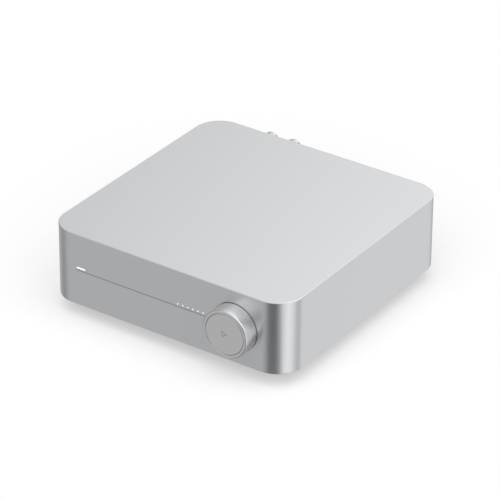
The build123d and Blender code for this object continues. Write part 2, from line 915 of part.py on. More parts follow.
# Speaker posts, measured outwards from the panel's face
collar_end = collar_thickness
shoulder_end = collar_end + shoulder_thickness
washer_start = shoulder_end + washer_gap
washer_end = washer_start + washer_thickness
cap_start = washer_end + slip_gap
cap_end = panel_recess + post_projection
stud_end = cap_end - stud_setback
stud_start = flange_back_face - stud_tail
with BuildPart() as post_studs:
    for x, z in posts.values():
        plane = rear_plane(x, z)
        disc(plane, stud_radius, stud_start, stud_end)
        disc(plane, shoulder_radius, collar_end, shoulder_end)
        disc(
            plane, stud_bore_radius, stud_end - stud_bore_depth, stud_end + cut_overrun,
            mode=Mode.SUBTRACT,
        )
        wire_hole_y = panel_face + shoulder_end + wire_hole_radius * 3 / 2
        disc(
            level(x, wire_hole_y, z - cap_radius), wire_hole_radius, 0, 2 * cap_radius,
            mode=Mode.SUBTRACT,
        )
keep(post_studs.part, "post_studs")

for sign in ("plus", "minus"):
    with BuildPart() as post_collars:
        for name, (x, z) in posts.items():
            if name.endswith(sign):
                plane = rear_plane(x, z)
                tube(plane, collar_radius, stud_radius + running_gap, 0, collar_end)
                tube(
                    plane, collar_neck_radius, stud_radius + running_gap, flange_back_face, 0
                )
    keep(post_collars.part, "post_collars_" + sign)

with BuildPart() as post_nuts:
    for x, z in posts.values():
        with BuildSketch(rear_plane(x, z).offset(flange_back_face - post_nut_height)):
            RegularPolygon(post_nut_across_flats / 2, 6, major_radius=False)
            Circle(stud_radius + slip_gap, mode=Mode.SUBTRACT)
        extrude(amount=post_nut_height)
keep(post_nuts.part, "post_nuts")

for name, (x, z) in posts.items():
    plane = rear_plane(x, z)
    with BuildPart() as clamp_washer:
        tube(plane, washer_radius, stud_radius + thread_gap, washer_start, washer_end)
    keep(clamp_washer.part, "clamp_washer_" + name)

    with BuildPart() as post_cap:
        disc(plane, cap_radius, cap_start, cap_end)
        fillet(post_cap.faces().sort_by(Axis.Y)[-1].edges(), min(cap_edge, cap_radius / 4))
        with BuildSketch(plane.offset(cap_start + cap_flute_margin)):
            with PolarLocations(cap_radius + cap_flute_radius / 2, cap_flute_count):
                Circle(cap_flute_radius)
        extrude(amount=cap_end - cap_start - 2 * cap_flute_margin, mode=Mode.SUBTRACT)
        disc(
            plane, stud_radius + thread_gap, cap_start - cut_overrun, cap_end - cap_lip,
            mode=Mode.SUBTRACT,
        )
        disc(plane, cap_mouth_radius, cap_start, cap_end + cut_overrun, mode=Mode.SUBTRACT)
    keep(post_cap.part, "post_cap_" + name)

# Phono sockets: metal sleeves with coloured cores, in one moulded block behind the panel
with BuildPart() as phono_sleeves:
    for x, z in phonos.values():
        plane = rear_plane(x, z)
        tube(plane, phono_radius, phono_bore_radius, flange_back_face, phono_length)
        tube(plane, phono_flange_radius, phono_bore_radius, 0, phono_flange_thickness)
keep(phono_sleeves.part, "phono_sleeves")

core_end = phono_length - phono_core_setback
for colour, (x, z) in phonos.items():
    with BuildPart() as phono_core:
        plane = rear_plane(x, z)
        disc(plane, phono_bore_radius - phono_core_gap, flange_back_face, core_end)
        disc(
            plane, phono_pin_radius, core_end - phono_pin_depth, core_end + cut_overrun,
            mode=Mode.SUBTRACT,
        )
    keep(phono_core.part, "phono_core_" + colour)

with BuildPart() as phono_block:
    block_back = flange_back_face - phono_block_depth
    for x, top in ((line_in_x, upper_row), (sub_out_x, lower_row)):
        height = top + phono_block_width / 2 - board_top
        slab(
            rear_plane(x, board_top + height / 2), phono_block_width, height,
            block_back, flange_back_face,
        )
keep(phono_block.part, "phono_block")

# Picture and media sockets on the streaming module
tv_plane = rear_plane(tv_x, tv_height_above)
with BuildPart() as tv_socket:
    with BuildSketch(tv_plane.offset(tv_proud - tv_depth)):
        tv_outline(tv_wall)
    extrude(amount=tv_depth)
    with BuildSketch(tv_plane.offset(tv_proud - tv_depth)):
        tv_outline(0)
    extrude(amount=tv_depth, mode=Mode.SUBTRACT)
keep(tv_socket.part, "tv_socket")

with BuildPart() as tv_tongue:
    with BuildSketch(tv_plane.offset(tv_proud - tv_depth)):
        tv_outline(-slip_gap)
    extrude(amount=socket_back)
    slab(
        tv_plane, tv_tongue_width, tv_tongue_height, tv_proud - tv_depth,
        tv_proud - tongue_setback,
    )
keep(tv_tongue.part, "tv_tongue")

media_plane = rear_plane(media_x, media_height_above)
media_inner_width = media_width - 2 * media_wall
media_inner_height = media_height - 2 * media_wall
with BuildPart() as media_socket:
    slab(media_plane, media_width, media_height, media_proud - media_depth, media_proud)
    slab(
        media_plane, media_inner_width, media_inner_height,
        media_proud - media_depth - cut_overrun, media_proud + cut_overrun, mode=Mode.SUBTRACT,
    )
keep(media_socket.part, "media_socket")

with BuildPart() as media_tongue:
    slab(
        media_plane, media_inner_width - 2 * slip_gap, media_inner_height - 2 * slip_gap,
        media_proud - media_depth, media_proud - media_depth + socket_back,
    )
    slab(
        media_plane, media_tongue_width, media_tongue_height, media_proud - media_depth,
        media_proud - tongue_setback, shift=(0, media_tongue_rise),
    )
keep(media_tongue.part, "media_tongue")

# Network socket, its gold contacts under the roof of the mouth
network_plane = rear_plane(network_x, network_centre)
mouth_back = network_proud - network_mouth_depth
with BuildPart() as network_socket:
    slab(
        network_plane, network_width, network_height, network_proud - network_depth,
        network_proud,
    )
    slab(
        network_plane, network_mouth_width, network_mouth_height, mouth_back,
        network_proud + cut_overrun, shift=(0, network_mouth_rise), mode=Mode.SUBTRACT,
    )
    tab_rise = network_mouth_rise - network_mouth_height / 2 - network_tab_height / 2
    slab(
        network_plane, network_tab_width, network_tab_height + 2 * slip_gap, mouth_back,
        network_proud + cut_overrun, shift=(0, tab_rise), mode=Mode.SUBTRACT,
    )
keep(network_socket.part, "network_socket")

with BuildPart() as network_contacts:
    contact_rise = network_mouth_rise + network_mouth_height / 2 - contact_width / 2
    contact_end = network_proud - contact_setback
    with BuildSketch(network_plane.offset(contact_end - contact_length)):
        with Locations((0, contact_rise)):
            with GridLocations(contact_pitch, contact_pitch, contact_count, 1):
                Rectangle(contact_width, contact_width)
    extrude(amount=contact_length)
keep(network_contacts.part, "network_contacts")

# Optical socket with a sprung shutter hinged along the top of its window
optical_plane = rear_plane(optical_x, optical_centre)
frame_back = optical_proud - optical_frame
pivot_rise = optical_window / 2 - shutter_pivot_drop
pivot_out = frame_back - shutter_pivot_setback
pin_length = optical_cavity_width + 2 * shutter_pin_reach
pivot_plane = Plane(
    origin=(optical_x, panel_face + pivot_out, optical_centre + pivot_rise),
    x_dir=(0, 1, 0), z_dir=(1, 0, 0),
)
with BuildPart() as optical_socket:
    slab(optical_plane, optical_width, optical_height, -optical_depth, optical_proud)
    slab(
        optical_plane, optical_window, optical_window, frame_back - cut_overrun,
        optical_proud + cut_overrun, mode=Mode.SUBTRACT,
    )
    slab(
        optical_plane, optical_cavity_width, optical_cavity_height,
        frame_back - optical_cavity_depth, frame_back, mode=Mode.SUBTRACT,
    )
    half_hole = pin_length / 2 + slip_gap
    disc(
        pivot_plane, shutter_pin_radius + running_gap, -half_hole, half_hole, mode=Mode.SUBTRACT
    )
keep(optical_socket.part, "optical_socket")

with BuildPart() as optical_shutter:
    shutter_bottom = -optical_window / 2 - shutter_lap
    shutter_height = pivot_rise - shutter_bottom
    slab(
        optical_plane, shutter_width, shutter_height,
        frame_back - shutter_gap - shutter_thickness, frame_back - shutter_gap,
        shift=(0, shutter_bottom + shutter_height / 2),
    )
    disc(pivot_plane, shutter_barrel_radius, -shutter_width / 2, shutter_width / 2)
    disc(pivot_plane, shutter_pin_radius, -pin_length / 2, pin_length / 2)
keep(optical_shutter.part, "optical_shutter")

# Mains inlet: a flanged housing with a two-pin mouth
inlet_plane = rear_plane(inlet_x, mid_height)
mouth_floor = inlet_flange_thickness - inlet_mouth_depth
inlet_back = inlet_flange_thickness - inlet_depth
pin_heights = (mid_height - inlet_pin_pitch / 2, mid_height + inlet_pin_pitch / 2)
with BuildPart() as power_inlet:
    slab(
        inlet_plane, inlet_flange_width, inlet_flange_height, 0, inlet_flange_thickness,
        inlet_flange_corner,
    )
    slab(
        inlet_plane, inlet_body_width, inlet_body_height, inlet_back, 0, inlet_body_corner
    )
    with BuildSketch(inlet_plane.offset(mouth_floor)):
        SlotOverall(inlet_mouth_height, inlet_mouth_width, rotation=quarter_turn)
    extrude(amount=inlet_mouth_depth, mode=Mode.SUBTRACT)
    for pin_height in pin_heights:
        disc(
            rear_plane(inlet_x, pin_height), inlet_pin_radius + slip_gap,
            inlet_back - cut_overrun, mouth_floor + cut_overrun, mode=Mode.SUBTRACT,
        )
keep(power_inlet.part, "power_inlet")

pin_tail_end = inlet_back - inlet_pin_tail
with BuildPart() as power_pins:
    for pin_height in pin_heights:
        disc(
            rear_plane(inlet_x, pin_height), inlet_pin_radius, pin_tail_end,
            inlet_flange_thickness - inlet_pin_setback,
        )
keep(power_pins.part, "power_pins")


def board(left, right, front, rear, bottom, holes):
    """A circuit board between four edges, with screw holes."""
    slab(
        level((left + right) / 2, (front + rear) / 2, bottom), right - left, rear - front,
        0, board_thickness,
    )
    for x, y in holes:
        disc(
            level(x, y, bottom), board_screw_radius + 2 * screw_gap, -cut_overrun,
            board_thickness + cut_overrun, mode=Mode.SUBTRACT,
        )


# Boards, with the screws that hold them to the tray
with BuildPart() as main_board:
    board(
        main_board_left, main_board_right, main_board_front, main_board_rear, board_bottom,
        main_standoffs,
    )
keep(main_board.part, "main_board")

with BuildPart() as power_board:
    board(
        power_board_left, power_board_right, power_board_front, power_board_rear, board_bottom,
        power_standoffs,
    )
keep(power_board.part, "power_board")

with BuildPart() as board_screws:
    for x, y in standoffs:
        screw(
            level(x, y, board_top), board_screw_radius, board_screw_length,
            board_screw_head_radius, board_screw_head_height,
        )
keep(board_screws.part, "board_screws")

with BuildPart() as streaming_board:
    board(
        module_left, module_right, module_front, module_rear, module_top - board_thickness, []
    )
keep(streaming_board.part, "streaming_board")

with BuildPart() as module_spacers:
    for x in (module_left + spacer_inset, main_board_right - spacer_inset):
        for y in (module_front + spacer_inset, module_rear - spacer_rear_setback):
            disc(level(x, y, board_top), spacer_radius, 0, spacer_height)
keep(module_spacers.part, "module_spacers")

with BuildPart() as radio_shield:
    slab(
        level(module_x, module_rear - shield_setback, module_top), shield_width,
        shield_depth, 0, shield_height,
    )
    fillet(radio_shield.faces().sort_by(Axis.Z)[-1].edges(), shield_edge_radius)
keep(radio_shield.part, "radio_shield")

# Amplifier chip with a finned heatsink on it
amp_chip_x = main_board_left + amp_chip_inset_x
amp_chip_y = main_board_front + amp_chip_inset_y
with BuildPart() as amplifier_chip:
    slab(
        level(amp_chip_x, amp_chip_y, board_top), chip_body_width, chip_body_depth,
        0, chip_body_height,
    )
keep(amplifier_chip.part, "amplifier_chip")

with BuildPart() as heatsink:
    sink_plane = level(amp_chip_x, amp_chip_y, board_top + chip_body_height)
    slab(sink_plane, heatsink_width, heatsink_depth, 0, heatsink_base)
    with BuildSketch(sink_plane.offset(heatsink_base)):
        fin_pitch = (heatsink_width - fin_thickness) / (fin_count - 1)
        with GridLocations(fin_pitch, fin_pitch, fin_count, 1):
            Rectangle(fin_thickness, heatsink_depth)
    extrude(amount=heatsink_height - heatsink_base)
keep(heatsink.part, "heatsink")

with BuildPart() as output_chokes:
    for number in range(choke_count):
        slab(
            level(
                main_board_left + choke_inset + number * choke_pitch,
                main_board_rear - choke_setback, board_top,
            ),
            choke_width, choke_width, 0, choke_height, choke_corner,
        )
keep(output_chokes.part, "output_chokes")

with BuildPart() as capacitors:
    for number in range(cap_can_count):
        can_x = main_board_left + cap_can_inset + number * cap_can_pitch
        disc(
            level(can_x, main_board_rear - cap_can_setback, board_top), cap_can_radius,
            0, cap_can_height,
        )
    disc(
        level(power_board_middle, power_board_rear - bulk_can_setback, board_top),
        bulk_can_radius, 0, bulk_can_height,
    )
    fillet(
        capacitors.edges().filter_by(GeomType.CIRCLE).filter_by(
            lambda edge: edge.center().Z > board_top + cap_can_height / 2
        ),
        can_edge_radius,
    )
keep(capacitors.part, "capacitors")

with BuildPart() as transformer:
    core = level(power_board_middle, power_board_rear - transformer_setback, board_top)
    slab(core, transformer_width, transformer_depth, 0, transformer_height)
    slab(
        core, transformer_width - 2 * winding_margin,
        transformer_depth + 2 * winding_overhang, winding_margin,
        transformer_height - winding_margin, corner=winding_margin,
    )
keep(transformer.part, "transformer")

# Aerials: thin strips stuck on the tray, which radio passes through
with BuildPart() as antennas:
    antenna_x = inner_left + cover_gap + antenna_wall_gap + antenna_width / 2
    for side in (-1, 1):
        slab(
            level(antenna_x, side * antenna_spacing / 2, tray_top), antenna_width,
            antenna_length, 0, antenna_thickness,
        )
keep(antennas.part, "antennas")

# Mains leads from the inlet's pins down to the power board
lead_start_y = panel_face + pin_tail_end
lead_bend = mains_lead_radius * 3
with BuildPart() as mains_leads:
    for number, z in enumerate(pin_heights):
        lead_run = power_board_rear - board_hole_inset - number * mains_lead_spacing
        with BuildLine():
            FilletPolyline(
                (inlet_x, lead_start_y, z),
                (inlet_x, lead_run, z),
                (inlet_x, lead_run, board_top),
                radius=lead_bend,
            )
        with BuildSketch(
            Plane(origin=(inlet_x, lead_start_y, z), x_dir=(1, 0, 0), z_dir=(0, -1, 0))
        ):
            Circle(mains_lead_radius)
        sweep()
keep(mains_leads.part, "mains_leads")

# Flat ribbon cable from the lamp board to the main board's front edge
ribbon_start_y = front_face - light_board_back
ribbon_end_y = main_board_front + ribbon_run
with BuildPart() as ribbon:
    with BuildLine():
        FilletPolyline(
            (baffle_middle, ribbon_start_y, light_height),
            (baffle_middle, ribbon_end_y, light_height),
            (baffle_middle, ribbon_end_y, board_top),
            radius=ribbon_bend,
        )
    with BuildSketch(
        Plane(origin=(baffle_middle, ribbon_start_y, light_height), x_dir=(1, 0, 0), z_dir=(0, 1, 0))
    ):
        Rectangle(ribbon_width, ribbon_thickness)
    sweep()
keep(ribbon.part, "ribbon")
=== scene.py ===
"""A low square network music streamer in satin aluminium, dressed for its portrait.

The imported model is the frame: its pieces keep their places. This script gives every piece its
finish, models the turned, moulded and threaded pieces finely, and sets a plain pale studio around
them. All lengths are metres. +X is right seen from the front, +Y is to the rear, +Z is up.
"""
import json
import logging
import math
from dataclasses import dataclass, field, replace
from enum import Enum
from functools import cached_property
from itertools import product
from typing import Any

import bpy
import numpy as np
from mathutils import Matrix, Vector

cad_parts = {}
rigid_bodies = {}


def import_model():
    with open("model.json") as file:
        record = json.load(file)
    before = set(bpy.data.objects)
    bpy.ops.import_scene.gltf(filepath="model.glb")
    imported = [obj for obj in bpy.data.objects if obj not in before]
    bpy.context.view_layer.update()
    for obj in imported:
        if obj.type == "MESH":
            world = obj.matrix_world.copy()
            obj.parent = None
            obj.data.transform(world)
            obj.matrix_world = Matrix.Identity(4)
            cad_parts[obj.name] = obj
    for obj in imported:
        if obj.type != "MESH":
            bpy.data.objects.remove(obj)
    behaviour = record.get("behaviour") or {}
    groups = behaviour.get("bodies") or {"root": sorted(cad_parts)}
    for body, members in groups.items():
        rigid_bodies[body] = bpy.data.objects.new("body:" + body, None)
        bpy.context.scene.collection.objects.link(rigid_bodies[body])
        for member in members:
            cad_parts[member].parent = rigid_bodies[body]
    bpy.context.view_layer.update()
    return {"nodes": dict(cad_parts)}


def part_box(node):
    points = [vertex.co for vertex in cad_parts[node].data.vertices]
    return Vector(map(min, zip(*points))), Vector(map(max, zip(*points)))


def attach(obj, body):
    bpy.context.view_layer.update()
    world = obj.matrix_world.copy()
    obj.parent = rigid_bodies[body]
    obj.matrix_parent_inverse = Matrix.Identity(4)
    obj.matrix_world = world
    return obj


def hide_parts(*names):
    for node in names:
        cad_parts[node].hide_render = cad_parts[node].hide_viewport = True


MM = 0.001
TURN = 2 * math.pi
SHARP_DEGREES = 32.0
TOUCH = 0.001 * MM  # points nearer than this count as one
NEAR_AXIS = 0.01 * MM  # where the profile of a solid turned piece stops beside its axis
STRAIGHT_SHARE = 0.999  # of a half turn: a corner past it is taken as straight
ARC_SHARE = 0.49  # the most that a round corner takes of a side
COLLAR_PROUD = 2.2 * MM  # how far the posts' collars stand out from the rear panel
EDGE_SHARE = 0.04  # of a band's pitch, over which its edge fades
CLOUD_DETAIL = 3.0
CLOUD_RANGE = (0.3, 0.7)  # most of a cloud lies between these
LOG = logging.getLogger("streamer")

Array = np.ndarray
Colour = tuple[float, float, float]
NodeSocket = bpy.types.NodeSocket


class Slot(Enum):
    """The record's material slots that the finishes stand for."""

    KNOB = "knob_aluminium"
    FOOT = "foot_rubber"
    PANEL = "panel_plastic"
    BLACK = "black_plastic"
    WHITE = "white_plastic"
    RED = "red_plastic"
    GOLD = "gold_plate"
    NICKEL = "nickel_plate"


class Value:
    """A number that a shader socket gives, with arithmetic that adds Math nodes."""

    def __init__(self, graph: "Graph", socket: NodeSocket) -> None:
        """Wraps a socket of the graph's tree."""
        self.graph = graph
        self.socket = socket

    def _math(self, operation: str, *terms: "Value | float") -> "Value":
        """A Math node of one operation on the terms."""
        return self.graph.value("ShaderNodeMath", {"operation": operation}, dict(enumerate(terms)))

    def __add__(self, other: "Value | float") -> "Value":
        """The sum."""
        return self._math("ADD", self, other)

    __radd__ = __add__

    def __sub__(self, other: "Value | float") -> "Value":
        """The difference."""
        return self._math("SUBTRACT", self, other)

    def __rsub__(self, other: float) -> "Value":
        """The difference from a number."""
        return self._math("SUBTRACT", other, self)

    def __mul__(self, other: "Value | float") -> "Value":
        """The product."""
        return self._math("MULTIPLY", self, other)

    __rmul__ = __mul__

    def __truediv__(self, other: float) -> "Value":
        """The quotient."""
        return self._math("DIVIDE", self, other)

    def __pow__(self, other: float) -> "Value":
        """The power."""
        return self._math("POWER", self, other)

    def root(self) -> "Value":
        """The square root."""
        return self._math("SQRT", self)

    def size(self) -> "Value":
        """The absolute value."""
        return self._math("ABSOLUTE", self)

    def larger(self, other: "Value") -> "Value":
        """The larger of the two."""
        return self._math("MAXIMUM", self, other)

    def angle_to(self, other: "Value") -> "Value":
        """The angle whose tangent is this value over the other, in radians."""
        return self._math("ARCTAN2", self, other)

    def wrapped(self, pitch: float) -> "Value":
        """The value folded into one pitch from nothing."""
        return self._math("WRAP", self, pitch, 0.0)

    def off_middle(self, pitch: float) -> "Value":
        """The distance past the middle of the pitch that the value is in."""
        return self.wrapped(pitch) - pitch / 2

    def wave(self, pitch: float) -> "Value":
        """A sine wave from 0 to 1, one for each pitch."""
        return self._math("SINE", self * (TURN / pitch)) * 0.5 + 0.5

    def step(self, low: float, high: float) -> "Value":
        """A smooth rise from 0 at low to 1 at high."""
        settings = {"interpolation_type": "SMOOTHSTEP"}
        inputs = {"Value": self, "From Min": low, "From Max": high}
        return self.graph.value("ShaderNodeMapRange", settings, inputs)

    def span(self, low: float, high: float, start: float, end: float) -> "Value":
        """A straight line from start at low to end at high, held beyond both."""
        inputs = {"Value": self, "From Min": low, "From Max": high, "To Min": start, "To Max": end}
        return self.graph.value("ShaderNodeMapRange", {"clamp": True}, inputs)


class Graph:
    """One node tree, of a material or of the world, filled by expressions."""

    def __init__(self, tree: bpy.types.NodeTree) -> None:
        """Empties the tree."""
        self.tree = tree
        tree.nodes.clear()

    def node(
        self, kind: str, settings: dict[str, Any] | None = None,
        inputs: dict[str | int, Any] | None = None,
    ) -> bpy.types.Node:
        """Adds a node.

        Args:
            kind: The node's type.
            settings: Its properties, set first.
            inputs: Values or links of its sockets, by name or number.

        Returns:
            The node.
        """
        node = self.tree.nodes.new(kind)
        for name, setting in (settings or {}).items():
            setattr(node, name, setting)
        for key, term in (inputs or {}).items():
            if isinstance(term, Value):
                term = term.socket
            if isinstance(term, NodeSocket):
                self.tree.links.new(term, node.inputs[key])
            else:
                node.inputs[key].default_value = term
        return node

    def value(
        self, kind: str, settings: dict[str, Any] | None = None,
        inputs: dict[str | int, Any] | None = None, output: str | int = 0,
    ) -> Value:
        """Adds a node, as node() does, and gives one of its outputs as a value."""
        return Value(self, self.node(kind, settings, inputs).outputs[output])

    def show(self, shader: bpy.types.Node, output: str = "ShaderNodeOutputMaterial") -> None:
        """Makes a shader the surface."""
        self.node(output, inputs={"Surface": shader.outputs[0]})

    @cached_property
    def place(self) -> Value:
        """The point on the object, in metres."""
        return self.value("ShaderNodeTexCoord", output="Object")

    @cached_property
    def axes(self) -> tuple[Value, Value, Value]:
        """The point's three parts."""
        node = self.node("ShaderNodeSeparateXYZ", inputs={0: self.place})
        return tuple(Value(self, node.outputs[axis]) for axis in "XYZ")

    def noise(self, width: float, detail: float = 2.0) -> Value:
        """Smooth noise from 0 to 1, in blots of a width in metres with finer layers in them."""
        inputs = {"Vector": self.place, "Scale": 1 / width, "Detail": detail}
        return self.value("ShaderNodeTexNoise", inputs=inputs)

    def mixed(self, share: Value, low: Colour | NodeSocket, high: Colour) -> NodeSocket:
        """A colour between two.

        Args:
            share: The second colour's share.
            low: The first colour, or the socket that gives it.
            high: The second colour.

        Returns:
            The colour's socket.
        """
        first = low if isinstance(low, NodeSocket) else (*low, 1)
        inputs = {0: share, 6: first, 7: (*high, 1)}
        return self.node("ShaderNodeMix", {"data_type": "RGBA"}, inputs).outputs[2]

    def bump(self, height: Value, depth: float) -> NodeSocket:
        """A normal bent by a height from 0 to 1, where 1 stands for the depth in metres."""
        inputs = {"Height": height, "Distance": depth}
        return self.node("ShaderNodeBump", inputs=inputs).outputs["Normal"]

    def seen_plainly(self) -> Value:
        """1 for the rays of the camera, of gloss and of glass, and 0 for all others."""
        rays = self.node("ShaderNodeLightPath")
        camera, glossy, through = (
            Value(self, rays.outputs[name])
            for name in ("Is Camera Ray", "Is Glossy Ray", "Is Transmission Ray")
        )
        return camera.larger(glossy).larger(through)


def new_material(name: str) -> tuple[bpy.types.Material, Graph]:
    """Adds a material.

    Args:
        name: Its name.

    Returns:
        The material and its empty graph.
    """
    material = bpy.data.materials.new(name)
    material.use_nodes = True
    return material, Graph(material.node_tree)


def new_object(name: str, data: bpy.types.ID) -> bpy.types.Object:
    """Adds an object to the scene.

    Args:
        name: Its name.
        data: Its mesh, camera or lamp.

    Returns:
        The object.
    """
    item = bpy.data.objects.new(name, data)
    bpy.context.scene.collection.objects.link(item)
    return item


def modify(piece: bpy.types.Object, name: str, kind: str, **settings: Any) -> None:
    """Adds a modifier.

    Args:
        piece: The piece that it changes.
        name: The modifier's name.
        kind: Its type.
        settings: Its properties.
    """
    modifier = piece.modifiers.new(name, kind)
    for key, setting in settings.items():
        setattr(modifier, key, setting)


def direction(azimuth_degrees: float, elevation_degrees: float) -> Array:
    """The unit vector at an azimuth and an elevation.

    Its parts are sin a cos e, -cos a cos e and sin e.

    Args:
        azimuth_degrees: The azimuth, from the front towards the right.
        elevation_degrees: The elevation above the level.

    Returns:
        The vector.
    """
    swing, lift = math.radians(azimuth_degrees), math.radians(elevation_degrees)
    level = math.cos(lift)
    return np.array([math.sin(swing) * level, -math.cos(swing) * level, math.sin(lift)])


def aim(item: bpy.types.Object, *columns: Array) -> None:
    """Sets where an object's own X, Y and Z point, and where its origin is."""
    matrix = np.vstack([np.column_stack(columns), (0, 0, 0, 1)])
    item.matrix_world = Matrix(matrix.tolist())


def grey(level: float) -> tuple[float, float, float, float]:
    """An opaque grey."""
    return level, level, level, 1.0


@dataclass(frozen=True)
class Finish:
    """A finish: base colour, gloss, and a fine grain that bends the light.

    The grain is smooth noise: its width and its depth. The cloud is wider and fainter, as on any
    handled surface: its width, and how far it shifts the colour and the roughness. The slot names
    the record's material slot that this finish stands for.
    """

    name: str
    colour: Colour
    metallic: float = 0.0
    roughness: float = 0.5
    grain: tuple[float, float] = (0.25 * MM, 0.01 * MM)
    cloud: tuple[float, float, float] = (22 * MM, 0.03, 0.05)
    coat: float = 0.0
    coat_roughness: float = 0.1
    specular: float = 0.5
    slot: Slot | None = None

    def height(self, graph: Graph) -> Value:
        """The relief that bends the light, from 0 to 1."""
        return graph.noise(self.grain[0])

    def ridged(self, graph: Graph, ridges: Value, share: float) -> Value:
        """A share of ridges, and the grain for the rest."""
        return ridges * share + graph.noise(self.grain[0]) * (1 - share)

    def base(self, graph: Graph, cloud: Value) -> NodeSocket:
        """The base colour, a little lighter and darker with the cloud.

        Args:
            graph: The material's graph.
            cloud: The cloud, from 0 to 1.

        Returns:
            The colour's socket.
        """
        shift = self.cloud[1]
        low = tuple(part * (1 - shift) for part in self.colour)
        high = tuple(min(1.0, part * (1 + shift)) for part in self.colour)
        return graph.mixed(cloud, low, high)

    def extend(self, graph: Graph, inputs: dict[str, Any]) -> None:
        """Changes the shader's inputs, for finishes with more to them."""

    def make(self) -> bpy.types.Material:
        """Builds the material.

        Returns:
            The material.
        """
        material, graph = new_material(self.name)
        width, _, shift = self.cloud
        cloud = graph.noise(width, CLOUD_DETAIL)
        inputs = {
            "Base Color": self.base(graph, cloud),
            "Metallic": self.metallic,
            "Roughness": cloud.span(*CLOUD_RANGE, -shift, shift) + self.roughness,
            "Normal": graph.bump(self.height(graph), self.grain[1]),
            "Coat Weight": self.coat,
            "Coat Roughness": self.coat_roughness,
            "Specular IOR Level": self.specular,
        }
        self.extend(graph, inputs)
        graph.show(graph.node("ShaderNodeBsdfPrincipled", inputs=inputs))
        return material


@dataclass(frozen=True)
class TurnedFinish(Finish):
    """A lathe-turned finish: fine rings about an axis along Y through axis_x and axis_z."""

    axis_x: float = 0.0
    axis_z: float = 0.0
    ring_pitch: float = 0.12 * MM
    ring_share: float = 0.6

    def height(self, graph: Graph) -> Value:
        """Rings in the distance from the axis and along it, roughened by noise.

        Args:
            graph: The material's graph.

        Returns:
            The height.
        """
        x, y, z = graph.axes
        radius = ((x - self.axis_x) ** 2.0 + (z - self.axis_z) ** 2.0).root()
        return self.ridged(graph, (radius + y).wave(self.ring_pitch), self.ring_share)


@dataclass(frozen=True)
class ThreadedFinish(Finish):
    """A plated finish with the fine rings of a thread along Y."""

    thread_pitch: float = 0.7 * MM
    thread_share: float = 0.85

    def height(self, graph: Graph) -> Value:
        """Ridges along Y, one for each pitch."""
        return self.ridged(graph, graph.axes[1].wave(self.thread_pitch), self.thread_share)


@dataclass(frozen=True)
class LampFinish(Finish):
    """A clear light guide, lit white on the face that shows.

    The light fades inwards over lit_depth. Blots of blot_size dim it to the share dimmest.
    """

    face_y: float = 0.0
    glow: float = 1.0
    lit_depth: float = 0.5 * MM
    blot_size: float = 0.8 * MM
    blot_range: tuple[float, float] = (0.2, 0.8)
    dimmest: float = 0.94

    def extend(self, graph: Graph, inputs: dict[str, Any]) -> None:
        """Lets only the outer end glow, a little unevenly.

        Args:
            graph: The material's graph.
            inputs: The shader's inputs, which it adds to.
        """
        shown = 1 - graph.axes[1].step(self.face_y, self.face_y + self.lit_depth)
        even = graph.noise(self.blot_size).span(*self.blot_range, self.dimmest, 1.0)
        inputs["Emission Color"] = graph.mixed(shown * even, (0.0, 0.0, 0.0), (1.0, 1.0, 1.0))
        inputs["Emission Strength"] = self.glow


@dataclass(frozen=True)
class GrooveShadeFinish(Finish):
    """A metal with painted shade: its colour is darker inside a fine level groove in the front face,
    where shade falls.

    The painted shade begins over one groove_depth behind the face and ends between the two depths of
    back_fade. It fades at side_fade times the groove's half height and end_fade times its reach.
    """

    front_y: float = 0.0
    groove_z: float = 0.0
    groove_half: float = 0.32 * MM
    groove_depth: float = 0.3 * MM
    groove_reach: float = 74 * MM
    groove_shade_tone: float = 0.7
    back_fade: tuple[float, float] = (2.0, 3.0)
    side_fade: float = 1.2
    end_fade: float = 1.01

    def base(self, graph: Graph, cloud: Value) -> NodeSocket:
        """The base colour, mixed to a painted shade behind the front face and at the groove.

        Args:
            graph: The material's graph.
            cloud: The cloud, from 0 to 1.

        Returns:
            The colour's socket.
        """
        x, y, z = graph.axes
        open_face = super().base(graph, cloud)
        start, end = (self.front_y + share * self.groove_depth for share in self.back_fade)
        behind = y.step(self.front_y, self.front_y + self.groove_depth)
        near = 1 - y.step(start, end)
        off_groove = (z - self.groove_z).size()
        level = 1 - off_groove.step(self.groove_half, self.groove_half * self.side_fade)
        along = 1 - x.size().step(self.groove_reach, self.groove_reach * self.end_fade)
        # painted shade: the groove's colour is darkened to stand in for the shade inside it
        dark = tuple(part * self.groove_shade_tone for part in self.colour)
        return graph.mixed(behind * near * level * along, open_face, dark)


@dataclass(frozen=True)
class LaminateFinish(Finish):
    """A circuit board: solder mask over copper tracks that run square to each other.

    In blots of lane_size the tracks run one way, and between them the other. A track takes
    line_share of its pitch, and its edge is soft past line_edge of that. A pad's is past pad_edge.
    """

    lane_size: float = 14 * MM
    lane_range: tuple[float, float] = (0.42, 0.58)
    track_pitch: float = 2.6 * MM
    track_colour: Colour = (0.03, 0.19, 0.09)
    line_share: float = 0.22
    line_edge: float = 0.8
    pad_colour: Colour = (0.62, 0.60, 0.55)
    pad_pitch: float = 5.2 * MM
    pad_radius: float = 0.55 * MM
    pad_edge: float = 0.9

    def base(self, graph: Graph, cloud: Value) -> NodeSocket:
        """Tracks under the mask, in lanes along X and along Y, and round solder pads.

        Args:
            graph: The material's graph.
            cloud: The cloud, which it leaves out.

        Returns:
            The colour's socket.
        """
        x, y, _ = graph.axes
        lane = graph.noise(self.lane_size, 0.0).span(*self.lane_range, 0.0, 1.0)
        line = self.line_share * self.track_pitch
        tracks_x, tracks_y = (
            1 - run.off_middle(self.track_pitch).size().step(line * self.line_edge, line)
            for run in (x, y)
        )
        tracks = tracks_x * lane + tracks_y * (1 - lane)
        green = graph.mixed(tracks, self.colour, self.track_colour)
        across, along = (run.off_middle(self.pad_pitch) ** 2.0 for run in (x, y))
        away = (across + along).root()
        pads = 1 - away.step(self.pad_radius * self.pad_edge, self.pad_radius)
        return graph.mixed(pads, green, self.pad_colour)


